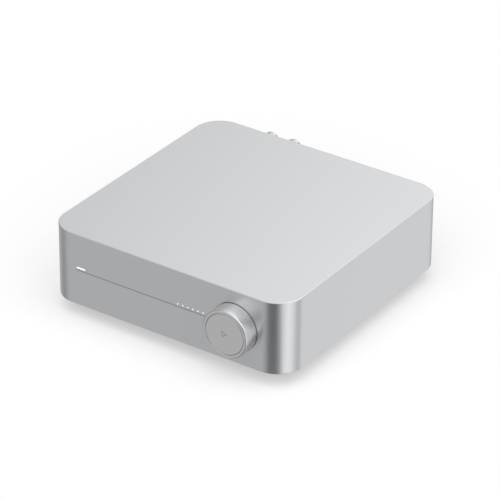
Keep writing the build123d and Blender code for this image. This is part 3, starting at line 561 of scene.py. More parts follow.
@dataclass(frozen=True)
class BandedFinish(Finish):
    """A finish with bands of a second colour along one axis, such as sleeves and windings."""

    axis: int = 2
    pitch: float = 3 * MM
    share: float = 0.5
    band: Colour = (0.5, 0.5, 0.5)

    def base(self, graph: Graph, cloud: Value) -> NodeSocket:
        """The second colour in each pitch past the first one's share."""
        run = graph.axes[self.axis].wrapped(self.pitch) / self.pitch
        return graph.mixed(run.step(self.share, self.share + EDGE_SHARE), self.colour, self.band)


@dataclass(frozen=True)
class Axis:
    """A straight axis: a point on it and the direction that counts as outwards."""

    origin: tuple[float, float, float]
    outward: tuple[float, float, float] = (0.0, 1.0, 0.0)


class Room:
    """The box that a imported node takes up: its corners, its radius, and its middle in X and Z."""

    def __init__(self, node: str) -> None:
        """Reads the node's box."""
        self.low, self.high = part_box(node)
        self.x, _, self.z = ((low + high) / 2 for low, high in zip(self.low, self.high))
        self.radius = (self.high.x - self.low.x) / 2

    def from_face(self, face_y: float) -> tuple[Axis, float, float]:
        """The middle line from a face to the rear, and where on it the box starts and ends."""
        return Axis((self.x, face_y, self.z)), self.low.y - face_y, self.high.y - face_y


def rounded(corners: list[tuple[float, float, float]], steps: int = 5) -> Array:
    """A closed outline with round corners.

    Each corner is (first, second, radius). An arc of that radius touches the two straight sides at
    radius times the tangent of half the turn from the corner, and is sampled evenly by angle.

    Args:
        corners: The corners in order, with their radii.
        steps: The number of arc pieces at each round corner.

    Returns:
        The outline's points.
    """
    spots = np.array([corner[:2] for corner in corners])
    out = []
    for number, (spot, radius) in enumerate(zip(spots, (corner[2] for corner in corners))):
        to_last = spots[number - 1] - spot
        to_next = spots[(number + 1) % len(spots)] - spot
        reach = min(np.linalg.norm(to_last), np.linalg.norm(to_next))
        to_last, to_next = to_last / np.linalg.norm(to_last), to_next / np.linalg.norm(to_next)
        between = math.acos(np.clip(to_last @ to_next, -1, 1))
        if radius <= 0 or between > STRAIGHT_SHARE * math.pi:
            out.append(spot[None])
            continue
        run = min(radius / math.tan(between / 2), ARC_SHARE * reach)
        true_radius = run * math.tan(between / 2)
        middle = (to_last + to_next) / np.linalg.norm(to_last + to_next)
        centre = spot + middle * true_radius / math.sin(between / 2)
        start, end = spot + to_last * run - centre, spot + to_next * run - centre
        turn = math.acos(np.clip(start @ end / true_radius ** 2, -1, 1))
        share = np.linspace(0, 1, steps + 1)[:, None]
        arc = (np.sin((1 - share) * turn) * start + np.sin(share * turn) * end) / math.sin(turn)
        out.append(centre + arc)
    return np.vstack(out)


class Skin:
    """Grids of points and blocks gathered into one mesh."""

    def __init__(self, name: str) -> None:
        """Starts an empty mesh of that name."""
        self.name = name
        self.points: list[Array] = []
        self.faces: list[Array] = []
        self.count = 0

    def _add(self, points: Array, quads: Array) -> None:
        """Adds points and the quads that join them, numbered from their first."""
        self.points.append(points)
        self.faces.append(quads + self.count)
        self.count += len(points)

    def grid(self, points: Array, close_rows: bool = False) -> None:
        """Adds a grid of points as quads.

        The quad at row i and column j joins (i, j), (i, j+1), (i+1, j+1) and (i+1, j). The last
        column joins the first.

        Args:
            points: An array of rows, columns and three coordinates.
            close_rows: Whether the last row joins the first too.
        """
        rows, columns = points.shape[:2]
        row_range = np.arange(rows if close_rows else rows - 1)
        i, j = np.meshgrid(row_range, np.arange(columns), indexing="ij")
        ahead, beside = (i + 1) % rows, (j + 1) % columns
        quads = np.stack(
            [i * columns + j, i * columns + beside, ahead * columns + beside, ahead * columns + j],
            axis=-1,
        )
        self._add(points.reshape(-1, 3), quads.reshape(-1, 4))

    def turned(
        self, axis: Axis, profile: Array, columns: int = 96, swell: Array | float = 0.0,
    ) -> None:
        """Adds a closed profile turned about an axis.

        A point at angle a is origin + r cos a side + r sin a other + d outward, where side, other
        and outward are square to each other and right-handed. A profile that climbs outwards on
        its outer side then has its faces outside.

        Args:
            axis: The axis.
            profile: The profile's points, as radius r and distance outwards d.
            columns: The number of steps round.
            swell: Radius to add at each row and column.
        """
        outward = np.array(axis.outward, float)
        side = np.roll(np.abs(outward), 1)
        other = np.cross(outward, side)
        angle = np.arange(columns) * (TURN / columns)
        radius = (profile[:, :1] + swell * np.ones((len(profile), columns)))[..., None]
        around = np.cos(angle)[:, None] * side + np.sin(angle)[:, None] * other
        climb = profile[:, 1, None, None] * outward
        self.grid(np.array(axis.origin) + radius * around + climb, close_rows=True)

    def block(self, middle: tuple[float, ...], half: tuple[float, ...]) -> None:
        """Adds a closed box, by its middle and half its size along each axis.

        The corners are listed with X changing first, and the faces to be seen from outside.
        """
        signs = np.array(list(product((-1, 1), repeat=3)))[:, ::-1]
        self._add(np.array(middle) + signs * half, np.array([
            [0, 2, 3, 1], [4, 5, 7, 6], [0, 1, 5, 4], [2, 6, 7, 3], [0, 4, 6, 2], [1, 3, 7, 5],
        ]))

    def build(self) -> bpy.types.Object:
        """Makes the object, smooth but for its sharp edges.

        Returns:
            The object, at the origin.
        """
        mesh = bpy.data.meshes.new(self.name)
        faces = [row for group in self.faces for row in group.tolist()]
        mesh.from_pydata(np.vstack(self.points).tolist(), [], faces)
        mesh.polygons.foreach_set("use_smooth", np.ones(len(mesh.polygons), bool))
        mesh.set_sharp_from_angle(angle=math.radians(SHARP_DEGREES))
        mesh.update()
        made = new_object(self.name, mesh)
        modify(made, "weld", "WELD", merge_threshold=TOUCH)
        modify(made, "even", "WEIGHTED_NORMAL", keep_sharp=True)
        return made


@dataclass
class Viewpoint:
    """The camera, fitted to the case's corners in the photograph."""

    azimuth_degrees: float = 34.347
    elevation_degrees: float = 29.866
    roll_degrees: float = 0.389
    distance: float = 2098.729 * MM
    right: float = 1.570 * MM
    above: float = -28.412 * MM
    target_height: float = 63 * MM
    focal_share: float = 3162.428 / 500
    sensor: float = 36.0
    clip: tuple[float, float] = (0.01, 100.0)

    def build(self) -> None:
        """Adds the camera and makes it the scene's own.

        The camera looks back along a direction given by azimuth and elevation, and is rolled about
        it. Its place is the target, moved along its own right and up, then back by the distance.
        """
        back = direction(self.azimuth_degrees, self.elevation_degrees)
        level = direction(self.azimuth_degrees + 90, 0)
        upright = np.cross(back, level)
        roll = math.radians(self.roll_degrees)
        right = math.cos(roll) * level + math.sin(roll) * upright
        above = -math.sin(roll) * level + math.cos(roll) * upright
        place = back * self.distance + right * self.right + above * self.above
        place[2] += self.target_height
        data = bpy.data.cameras.new("viewpoint")
        data.sensor_width = self.sensor
        data.lens = self.focal_share * self.sensor
        data.clip_start, data.clip_end = self.clip
        camera = new_object("viewpoint", data)
        aim(camera, right, above, back, place)
        bpy.context.scene.camera = camera


@dataclass
class Studio:
    """A plain pale studio: a white floor that keeps soft shadows, an even sky, one broad lamp, and
    a large round backdrop that only polished surfaces show.

    The backdrop's brightness is a smooth function of direction. Round the horizon it follows
    horizon_stops, pairs of azimuth in degrees from the front towards the right, and brightness.
    The two bands of height, as shares of the radius, are where the parts meet and where the upper
    part climbs from above_low to above_high. Each card is a soft round patch on it:
    azimuth, elevation, radius of its even part and of its whole, all in degrees, and brightness.
    """

    floor_size: float = 12.0
    floor_glow: float = 0.465
    floor_colour: float = 0.56
    sky: float = 0.38
    sun_power: float = 2.2
    sun_angle_degrees: float = 95.0
    sun_from: tuple[float, float, float] = (0.34, -0.42, 0.85)
    backdrop_radius: float = 1.4
    backdrop_rows: int = 24
    backdrop_columns: int = 48
    backdrop_reach: float = 0.499 * math.pi
    horizon_stops: tuple[tuple[float, float], ...] = (
        (-180.0, 0.48), (-128.0, 0.60), (-104.0, 0.50), (-76.0, 0.28), (-46.0, 0.505),
        (-30.0, 0.51), (-14.0, 0.46), (-2.0, 0.24), (8.0, 0.03), (37.0, 0.0), (46.0, 0.36),
        (54.0, 0.94), (74.0, 1.10), (92.0, 0.86), (104.0, 0.58), (116.0, 0.47), (132.0, 0.80),
        (147.0, 0.83), (160.0, 0.76), (180.0, 0.48),
    )
    meeting: tuple[float, float] = (-0.05, 0.3)
    climb: tuple[float, float] = (0.2, 0.64)
    above_low: float = 0.54
    above_high: float = 1.0
    lean: float = 0.9
    lean_towards: tuple[float, float] = (0.826, 0.564)
    cards: tuple[tuple[float, float, float, float, float], ...] = (
        (-40.0, 16.0, 12.0, 28.0, 0.56), (-16.0, 38.0, 9.0, 24.0, 1.06),
        (15.0, 42.0, 6.0, 18.0, 0.80), (40.0, 20.0, 10.0, 22.0, 0.28),
        (-66.0, 42.0, 8.0, 26.0, 0.26), (-72.0, 14.0, 8.0, 22.0, 0.32),
        (42.0, -12.0, 6.0, 15.0, 0.90), (8.0, 14.0, 6.0, 18.0, 0.62),
        (148.0, 24.0, 8.0, 26.0, 0.45), (12.0, -58.0, 10.0, 22.0, 0.58),
        (22.0, -47.0, 6.0, 13.0, 0.75), (56.0, -62.0, 14.0, 24.0, 0.05),
        (0.0, -90.0, 12.0, 28.0, 0.06), (-98.0, -2.0, 10.0, 22.0, 0.30),
    )

    def build(self) -> None:
        """Adds world, floor, backdrop and lamp."""
        self._world()
        self._floor()
        self._backdrop()
        self._sun()

    def _world(self) -> None:
        """White to the camera, to gloss and to glass, and an even pale sky to all else."""
        world = bpy.data.worlds.new("studio")
        bpy.context.scene.world = world
        world.use_nodes = True
        world.cycles.sampling_method = "NONE"
        graph = Graph(world.node_tree)
        strength = graph.seen_plainly() * (1 - self.sky) + self.sky
        inputs = {"Color": grey(1.0), "Strength": strength}
        graph.show(graph.node("ShaderNodeBackground", inputs=inputs), "ShaderNodeOutputWorld")

    def _paper(self, stage: bpy.types.Object) -> Graph:
        """Covers a piece of the stage with a paper that isn't a lamp.

        Args:
            stage: The piece.

        Returns:
            The paper's empty graph.
        """
        material, graph = new_material(f"{stage.name}_paper")
        material.cycles.emission_sampling = "NONE"
        stage.data.materials.append(material)
        return graph

    def _floor(self) -> None:
        """A level floor: its own even glow and a share of the light that falls on it."""
        half = self.floor_size / 2
        mesh = bpy.data.meshes.new("floor")
        corners = [(-half, -half, 0), (half, -half, 0), (half, half, 0), (-half, half, 0)]
        mesh.from_pydata(corners, [], [(0, 1, 2, 3)])
        floor = new_object("floor", mesh)
        floor.visible_glossy = False
        graph = self._paper(floor)
        strength = graph.seen_plainly() * self.floor_glow
        lit = graph.node("ShaderNodeBsdfDiffuse", inputs={"Color": grey(self.floor_colour)})
        glow = graph.node("ShaderNodeEmission", inputs={"Strength": strength})
        both = {0: lit.outputs[0], 1: glow.outputs[0]}
        graph.show(graph.node("ShaderNodeAddShader", inputs=both))

    def _backdrop(self) -> None:
        """A round backdrop all about, seen only in gloss. Its grid is a sphere in two angles."""
        climb = np.linspace(-self.backdrop_reach, self.backdrop_reach, self.backdrop_rows)[:, None]
        turn = np.arange(self.backdrop_columns) * (TURN / self.backdrop_columns)
        points = np.empty((self.backdrop_rows, self.backdrop_columns, 3))
        points[..., 0] = np.cos(climb) * np.cos(turn)
        points[..., 1] = np.cos(climb) * np.sin(turn)
        points[..., 2] = np.sin(climb)
        shell = Skin("backdrop")
        shell.grid(points * self.backdrop_radius)
        backdrop = shell.build()
        backdrop.visible_camera = backdrop.visible_diffuse = backdrop.visible_shadow = False
        backdrop.visible_transmission = backdrop.visible_volume_scatter = False
        graph = self._paper(backdrop)
        inputs = {"Strength": self._brightness(graph)}
        graph.show(graph.node("ShaderNodeEmission", inputs=inputs))

    def _brightness(self, graph: Graph) -> Value:
        """The backdrop's brightness: the horizon's ramp, the upper part, then each card over it.

        A card's share at a point steps up with the cosine of the angle between the point's
        direction and the card's own.

        Args:
            graph: The backdrop's graph.

        Returns:
            The brightness.
        """
        x, y, z = graph.axes
        ramp = graph.node("ShaderNodeValToRGB", inputs={0: x.angle_to(-1 * y) * (1 / TURN) + 0.5})
        ramp.color_ramp.interpolation = "EASE"
        stops = ramp.color_ramp.elements
        stops[0].color, stops[1].color = (grey(self.horizon_stops[end][1]) for end in (0, -1))
        for azimuth, level in self.horizon_stops[1:-1]:
            stops.new(azimuth / 360 + 0.5).color = grey(level)
        height = z / self.backdrop_radius
        lean = (x * self.lean_towards[0] + y * self.lean_towards[1]) / self.backdrop_radius
        above = height.span(*self.climb, self.above_low, self.above_high) * (lean * self.lean + 1)
        upper = height.step(*self.meeting)
        strength = Value(graph, ramp.outputs[0]) * (1 - upper) + above * upper
        for azimuth, elevation, even, whole, level in self.cards:
            towards = direction(azimuth, elevation)
            facing = (x * towards[0] + y * towards[1] + z * towards[2]) / self.backdrop_radius
            patch = facing.step(math.cos(math.radians(whole)), math.cos(math.radians(even)))
            strength = strength * (1 - patch) + patch * level
        return strength

    def _sun(self) -> None:
        """One broad lamp, high at the front right, for the soft shadows. Gloss doesn't show it."""
        data = bpy.data.lights.new("lamp", "SUN")
        data.energy = self.sun_power
        data.angle = math.radians(self.sun_angle_degrees)
        lamp = new_object("lamp", data)
        lamp.visible_glossy = False
        towards = np.array(self.sun_from) / np.linalg.norm(self.sun_from)
        side = np.cross((0, 0, 1), towards)
        side /= np.linalg.norm(side)
        aim(lamp, side, np.cross(towards, side), towards, np.zeros(3))


@dataclass
class Bench:
    """What every sub-assembly works with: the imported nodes, where the rear panel's face is along Y,
    and the finishes made so far.
    """

    nodes: dict[str, bpy.types.Object]
    panel_y: float
    finishes: dict[str, bpy.types.Material] = field(default_factory=dict)
    smoother: bpy.types.NodeTree | None = None
    edge_degrees: float = 40.0
    edge_segments: int = 2

    def paint(self, piece: bpy.types.Object, finish: Finish) -> None:
        """Gives a piece one finish all over. The finish's material is made once.

        Args:
            piece: The piece.
            finish: Its finish.
        """
        if finish.name not in self.finishes:
            self.finishes[finish.name] = finish.make()
        material = self.finishes[finish.name]
        if piece.data.materials:
            for number in range(len(piece.data.materials)):
                piece.data.materials[number] = material
        else:
            piece.data.materials.append(material)

    def dress(self, name: str, finish: Finish, round_edge: float = 0.0) -> None:
        """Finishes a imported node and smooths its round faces.

        Args:
            name: The node.
            finish: Its finish.
            round_edge: The width of a small bevel on its sharp edges, if any.
        """
        piece = self.nodes[name]
        self.paint(piece, finish)
        modify(piece, "weld", "WELD", merge_threshold=2 * TOUCH)
        if round_edge > 0:
            modify(
                piece, "round", "BEVEL", width=round_edge, segments=self.edge_segments,
                limit_method="ANGLE", angle_limit=math.radians(self.edge_degrees),
                use_clamp_overlap=True,
            )
        modify(piece, "smooth", "NODES", node_group=self._smoother())
        modify(piece, "even", "WEIGHTED_NORMAL", keep_sharp=True)
        LOG.info("dressed %s as %s", name, finish.name)

    def fit(self, skin: Skin, finish: Finish, body: str, *replaced: str) -> bpy.types.Object:
        """Builds a modelled piece, finishes it and sets it in the frame.

        Args:
            skin: The piece's mesh.
            finish: Its finish.
            body: The body it moves with.
            replaced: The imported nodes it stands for, if any.

        Returns:
            The piece.
        """
        piece = skin.build()
        self.paint(piece, finish)
        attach(piece, body)
        if replaced:
            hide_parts(*replaced)
        LOG.info("modelled %s as %s", piece.name, finish.name)
        return piece

    def _smoother(self) -> bpy.types.NodeTree:
        """A node group that shades smooth but for edges past a sharp angle.

        Returns:
            The group, made once.
        """
        if self.smoother is None:
            tree = bpy.data.node_groups.new("smooth_faces", "GeometryNodeTree")
            for way in ("INPUT", "OUTPUT"):
                tree.interface.new_socket("Geometry", in_out=way, socket_type="NodeSocketGeometry")
            graph = Graph(tree)
            start = graph.node("NodeGroupInput")
            shade = "GeometryNodeSetShadeSmooth"
            faces = graph.node(shade, {"domain": "FACE"}, {0: start.outputs[0]})
            angle = graph.node("GeometryNodeInputMeshEdgeAngle")
            sharp = graph.node(
                "FunctionNodeCompare", {"data_type": "FLOAT", "operation": "GREATER_THAN"},
                {0: angle.outputs[0], 1: math.radians(SHARP_DEGREES)},
            )
            inputs = {0: faces.outputs[0], 1: sharp.outputs[0], 2: False}
            edges = graph.node(shade, {"domain": "EDGE"}, inputs)
            graph.node("NodeGroupOutput", inputs={0: edges.outputs[0]})
            self.smoother = tree
        return self.smoother


# The case metal, with painted shade in the front face's groove.
CASE_METAL = GrooveShadeFinish(
    "aluminium_with_groove_shade", (0.732, 0.742, 0.757), metallic=0.88, roughness=0.28,
    grain=(0.32 * MM, 0.0016 * MM), cloud=(38 * MM, 0.006, 0.005),
)
KNOB_METAL = TurnedFinish(
    "turned_aluminium", (0.762, 0.764, 0.772), metallic=0.88, roughness=0.28,
    grain=(0.25 * MM, 0.0012 * MM), cloud=(30 * MM, 0.006, 0.005), slot=Slot.KNOB,
)
LIT_GUIDE = LampFinish(
    "lit_guide", (0.86, 0.87, 0.88), roughness=0.25, grain=(0.2 * MM, 0.001 * MM), glow=1.1,
)
GOLD = Finish(
    "gold_plate", (0.68, 0.66, 0.575), metallic=1.0, roughness=0.2,
    grain=(0.2 * MM, 0.001 * MM), cloud=(6 * MM, 0.05, 0.04), slot=Slot.GOLD,
)
STUD_GOLD = ThreadedFinish(
    "threaded_gold", GOLD.colour, metallic=1.0, roughness=0.24, grain=(0.2 * MM, 0.05 * MM),
    cloud=(6 * MM, 0.03, 0.05),
)
NICKEL = Finish(
    "nickel_plate", (0.72, 0.70, 0.66), metallic=1.0, roughness=0.22,
    grain=(0.3 * MM, 0.0015 * MM), cloud=(5 * MM, 0.06, 0.06), slot=Slot.NICKEL,
)
TIN = Finish(
    "tin_plate", (0.62, 0.62, 0.61), metallic=1.0, roughness=0.3,
    grain=(0.5 * MM, 0.002 * MM), cloud=(4 * MM, 0.08, 0.08),
)
ZINC = Finish(
    "zinc_plate", (0.50, 0.51, 0.53), metallic=1.0, roughness=0.34,
    grain=(0.25 * MM, 0.002 * MM), cloud=(3 * MM, 0.10, 0.08),
)
BLACK_STEEL = Finish(
    "blackened_steel", (0.045, 0.045, 0.05), metallic=0.9, roughness=0.42,
    grain=(0.3 * MM, 0.004 * MM), cloud=(3 * MM, 0.25, 0.05),
)
SINK_METAL = Finish(
    "extruded_aluminium", (0.60, 0.60, 0.61), metallic=0.9, roughness=0.42,
    grain=(0.5 * MM, 0.006 * MM), cloud=(9 * MM, 0.05, 0.05),
)
BASE_PLASTIC = Finish(
    "grained_plastic", (0.040, 0.041, 0.044), roughness=0.56,
    grain=(0.55 * MM, 0.03 * MM), cloud=(30 * MM, 0.10, 0.05),
)
PANEL_PLASTIC = Finish(
    "panel_plastic", (0.030, 0.031, 0.034), grain=(0.4 * MM, 0.02 * MM),
    cloud=(26 * MM, 0.10, 0.05),
)
BLACK_PLASTIC = Finish(
    "satin_black_plastic", (0.018, 0.018, 0.020), roughness=0.36,
    grain=(0.3 * MM, 0.004 * MM), cloud=(8 * MM, 0.12, 0.05), slot=Slot.BLACK,
)
WHITE_PLASTIC = Finish(
    "gloss_white_plastic", (0.80, 0.79, 0.76), roughness=0.25, coat=0.3,
    grain=(0.6 * MM, 0.004 * MM), cloud=(5 * MM, 0.02, 0.05), slot=Slot.WHITE,
)
RED_PLASTIC = Finish(
    "gloss_red_plastic", (0.56, 0.025, 0.022), roughness=0.28, coat=0.3,
    grain=(0.6 * MM, 0.004 * MM), cloud=(5 * MM, 0.06, 0.05), slot=Slot.RED,
)
RUBBER = Finish(
    "foot_rubber", (0.028, 0.028, 0.030), roughness=0.74, specular=0.35,
    grain=(0.35 * MM, 0.03 * MM), cloud=(16 * MM, 0.18, 0.07), slot=Slot.FOOT,
)
MARK_INK = Finish(
    "mark_ink", (0.62, 0.63, 0.64), roughness=0.55,
    grain=(0.15 * MM, 0.004 * MM), cloud=(2 * MM, 0.04, 0.05), slot=Slot.PANEL,
)
ICON_INK = Finish(
    "icon_ink", (0.27, 0.27, 0.275),
    grain=(0.15 * MM, 0.003 * MM), cloud=(1.5 * MM, 0.05, 0.05), slot=Slot.KNOB,
)
CHIP_RESIN = Finish(
    "chip_resin", (0.028, 0.028, 0.030), roughness=0.6,
    grain=(0.2 * MM, 0.01 * MM), cloud=(4 * MM, 0.15, 0.05),
)
LAMINATE = LaminateFinish(
    "board_laminate", (0.016, 0.105, 0.05), roughness=0.34, coat=0.2,
    grain=(0.9 * MM, 0.01 * MM), cloud=(10 * MM, 0.03, 0.05),
)
CAN_SLEEVE = BandedFinish(
    "can_sleeve", (0.025, 0.027, 0.05), roughness=0.3, grain=(1.2 * MM, 0.01 * MM), coat=0.25,
    axis=0, pitch=18 * MM, share=0.86, band=(0.55, 0.57, 0.6),
)
WINDING = BandedFinish(
    "core_and_tape", (0.06, 0.06, 0.065), grain=(0.6 * MM, 0.02 * MM),
    axis=2, pitch=9 * MM, share=0.55, band=(0.52, 0.40, 0.07),
)
LEAD_SLEEVE = BandedFinish(
    "lead_sleeve", (0.035, 0.035, 0.038), roughness=0.42, grain=(0.4 * MM, 0.01 * MM),
    axis=0, pitch=1.27 * MM, share=0.82, band=(0.09, 0.09, 0.10),
)


@dataclass
class Case:
    """The shell with its lamps, the base tray, the pad under it and the tray's screws."""

    bench: Bench
    tray_edge: float = 0.15 * MM
    screw_edge: float = 0.08 * MM
    pad_edge: float = 0.8 * MM
    pad_brink: float = 0.1 * MM
    pad_columns: int = 144
    groove_radii: tuple[float, ...] = (26 * MM, 40 * MM, 54 * MM, 66 * MM)
    groove_depth: float = 0.35 * MM
    groove_width: float = 2.2 * MM
    groove_lip: float = 0.2 * MM
    groove_hollow: float = 0.3 * MM

    def build(self) -> None:
        """Dresses the shell, lamps, tray and screws, and models the pad."""
        shell = Room("case_shell")
        # The shell's finish darkens its front groove as painted shade.
        metal = replace(CASE_METAL, front_y=shell.low.y, groove_z=shell.z)
        self.bench.dress("case_shell", metal)
        self.bench.dress("light_guides", replace(LIT_GUIDE, face_y=shell.low.y))
        self.bench.dress("base_tray", BASE_PLASTIC, round_edge=self.tray_edge)
        self.bench.dress("base_screws", BLACK_STEEL, round_edge=self.screw_edge)
        self._pad()

    def _pad(self) -> None:
        """A rubber disc with a round lower edge and ring grooves in its underside.

        Its profile climbs the outer side, crosses the top to the middle, and comes back along the
        underside, where each groove is a round hollow.
        """
        room = Room("foot_pad")
        height = room.high.z - room.low.z
        corners = [
            (room.radius, 0, self.pad_edge), (room.radius, height, self.pad_brink),
            (NEAR_AXIS, height, 0), (NEAR_AXIS, 0, 0),
        ]
        half = self.groove_width / 2
        for middle in self.groove_radii:
            corners += [
                (middle - half, 0, self.groove_lip),
                (middle - half / 2, self.groove_depth, self.groove_hollow),
                (middle + half / 2, self.groove_depth, self.groove_hollow),
                (middle + half, 0, self.groove_lip),
            ]
        skin = Skin("rubber_pad")
        upwards = Axis((0, 0, room.low.z), (0, 0, 1))
        skin.turned(upwards, rounded(corners, steps=4), self.pad_columns)
        self.bench.fit(skin, RUBBER, "root", "foot_pad")


@dataclass
class Knob:
    """The turned volume ring, the play button in it, and the encoder behind them."""

    bench: Bench
    sink: float = 0.6 * MM
    rim_round: float = 1.1 * MM
    lip_round: float = 0.4 * MM
    pocket_radius: float = 14.67 * MM
    pocket_depth: float = 4.0 * MM
    web: float = 2.4 * MM
    hub_radius: float = 7.0 * MM
    hub_length: float = 2.8 * MM
    bore_radius: float = 4.02 * MM
    wall: float = 2.0 * MM
    soft: float = 0.16 * MM
    columns: int = 256
    button_edge: float = 0.03 * MM
    icon_width: float = 4.0 * MM
    icon_height: float = 4.6 * MM
    icon_line: float = 0.45 * MM
    icon_depth: float = 0.15 * MM
    icon_gap: float = 0.02 * MM
    ink_depth: float = 0.04 * MM

    def build(self) -> None:
        """Models the ring and the icon's ink, and dresses the button and the encoder."""
        room = Room("volume_ring")
        metal = replace(KNOB_METAL, axis_x=room.x, axis_z=room.z)
        self._ring(room, metal)
        self.bench.dress("play_button", metal, round_edge=self.button_edge)
        self._icon(room)
        for name, finish in {
            "button_clip": ZINC, "encoder_housing": TIN, "encoder_shaft": TIN,
            "encoder_base": CHIP_RESIN, "encoder_nut": NICKEL, "button_switch": CHIP_RESIN,
            "switch_plunger": WHITE_PLASTIC,
        }.items():
            self.bench.dress(name, finish)

    def _ring(self, room: Room, metal: Finish) -> None:
        """The ring's profile, once round: the outer side, the round rim, the narrow lip, the
        pocket, the bore, the hub, the web's back and the skirt's inner side, with soft corners.

        Args:
            room: The volume ring's box.
            metal: The ring's finish.
        """
        face_y = room.high.y - self.sink
        reach = face_y - room.low.y
        floor = reach - self.pocket_depth
        web_back = floor - self.web
        hub_back = web_back - self.hub_length
        inner = room.radius - self.wall
        soft = self.soft
        profile = rounded([
            (room.radius, -self.sink, soft), (room.radius, reach, self.rim_round),
            (self.pocket_radius, reach, self.lip_round), (self.pocket_radius, floor, soft),
            (self.bore_radius, floor, soft), (self.bore_radius, hub_back, soft),
            (self.hub_radius, hub_back, soft), (self.hub_radius, web_back, 2 * soft),
            (inner, web_back, 2 * soft), (inner, -self.sink, soft),
        ])
        skin = Skin("knob_ring")
        skin.turned(Axis((room.x, face_y, room.z), (0, -1, 0)), profile, self.columns)
        self.bench.fit(skin, metal, "volume_dial", "volume_ring")

    def _icon(self, room: Room) -> None:
        """Dark ink in the button's triangular groove: two triangles, one inside the other, joined
        into a flat frame a little off the groove's floor.

        Moving each side in by a line's width scales the triangle about its inner circle's centre
        by one less the width over that circle's radius.

        Args:
            room: The volume ring's box, whose middle line is the button's.
        """
        half_w, half_h = self.icon_width / 2, self.icon_height / 2
        outline = np.array([(-half_w, half_h), (-half_w, -half_h), (half_w, 0.0)])
        sides = np.linalg.norm(np.roll(outline, -1, axis=0) - np.roll(outline, 1, axis=0), axis=1)
        centre = (outline * sides[:, None]).sum(axis=0) / sides.sum()
        circle = self.icon_width * self.icon_height / sides.sum()
        outer, inner = (
            centre + (outline - centre) * (1 - inset / circle)
            for inset in (self.icon_gap, self.icon_line - self.icon_gap)
        )
        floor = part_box("play_button")[0].y + self.icon_depth
        face = floor - self.ink_depth
        rows = (outer, floor), (outer, face), (inner, face), (inner, floor)
        skin = Skin("play_icon")
        skin.grid(np.array([
            [(room.x + u, y, room.z + v) for u, v in shape] for shape, y in rows
        ]), close_rows=True)
        piece = self.bench.fit(skin, ICON_INK, "play_button")
        piece.modifiers.remove(piece.modifiers["even"])


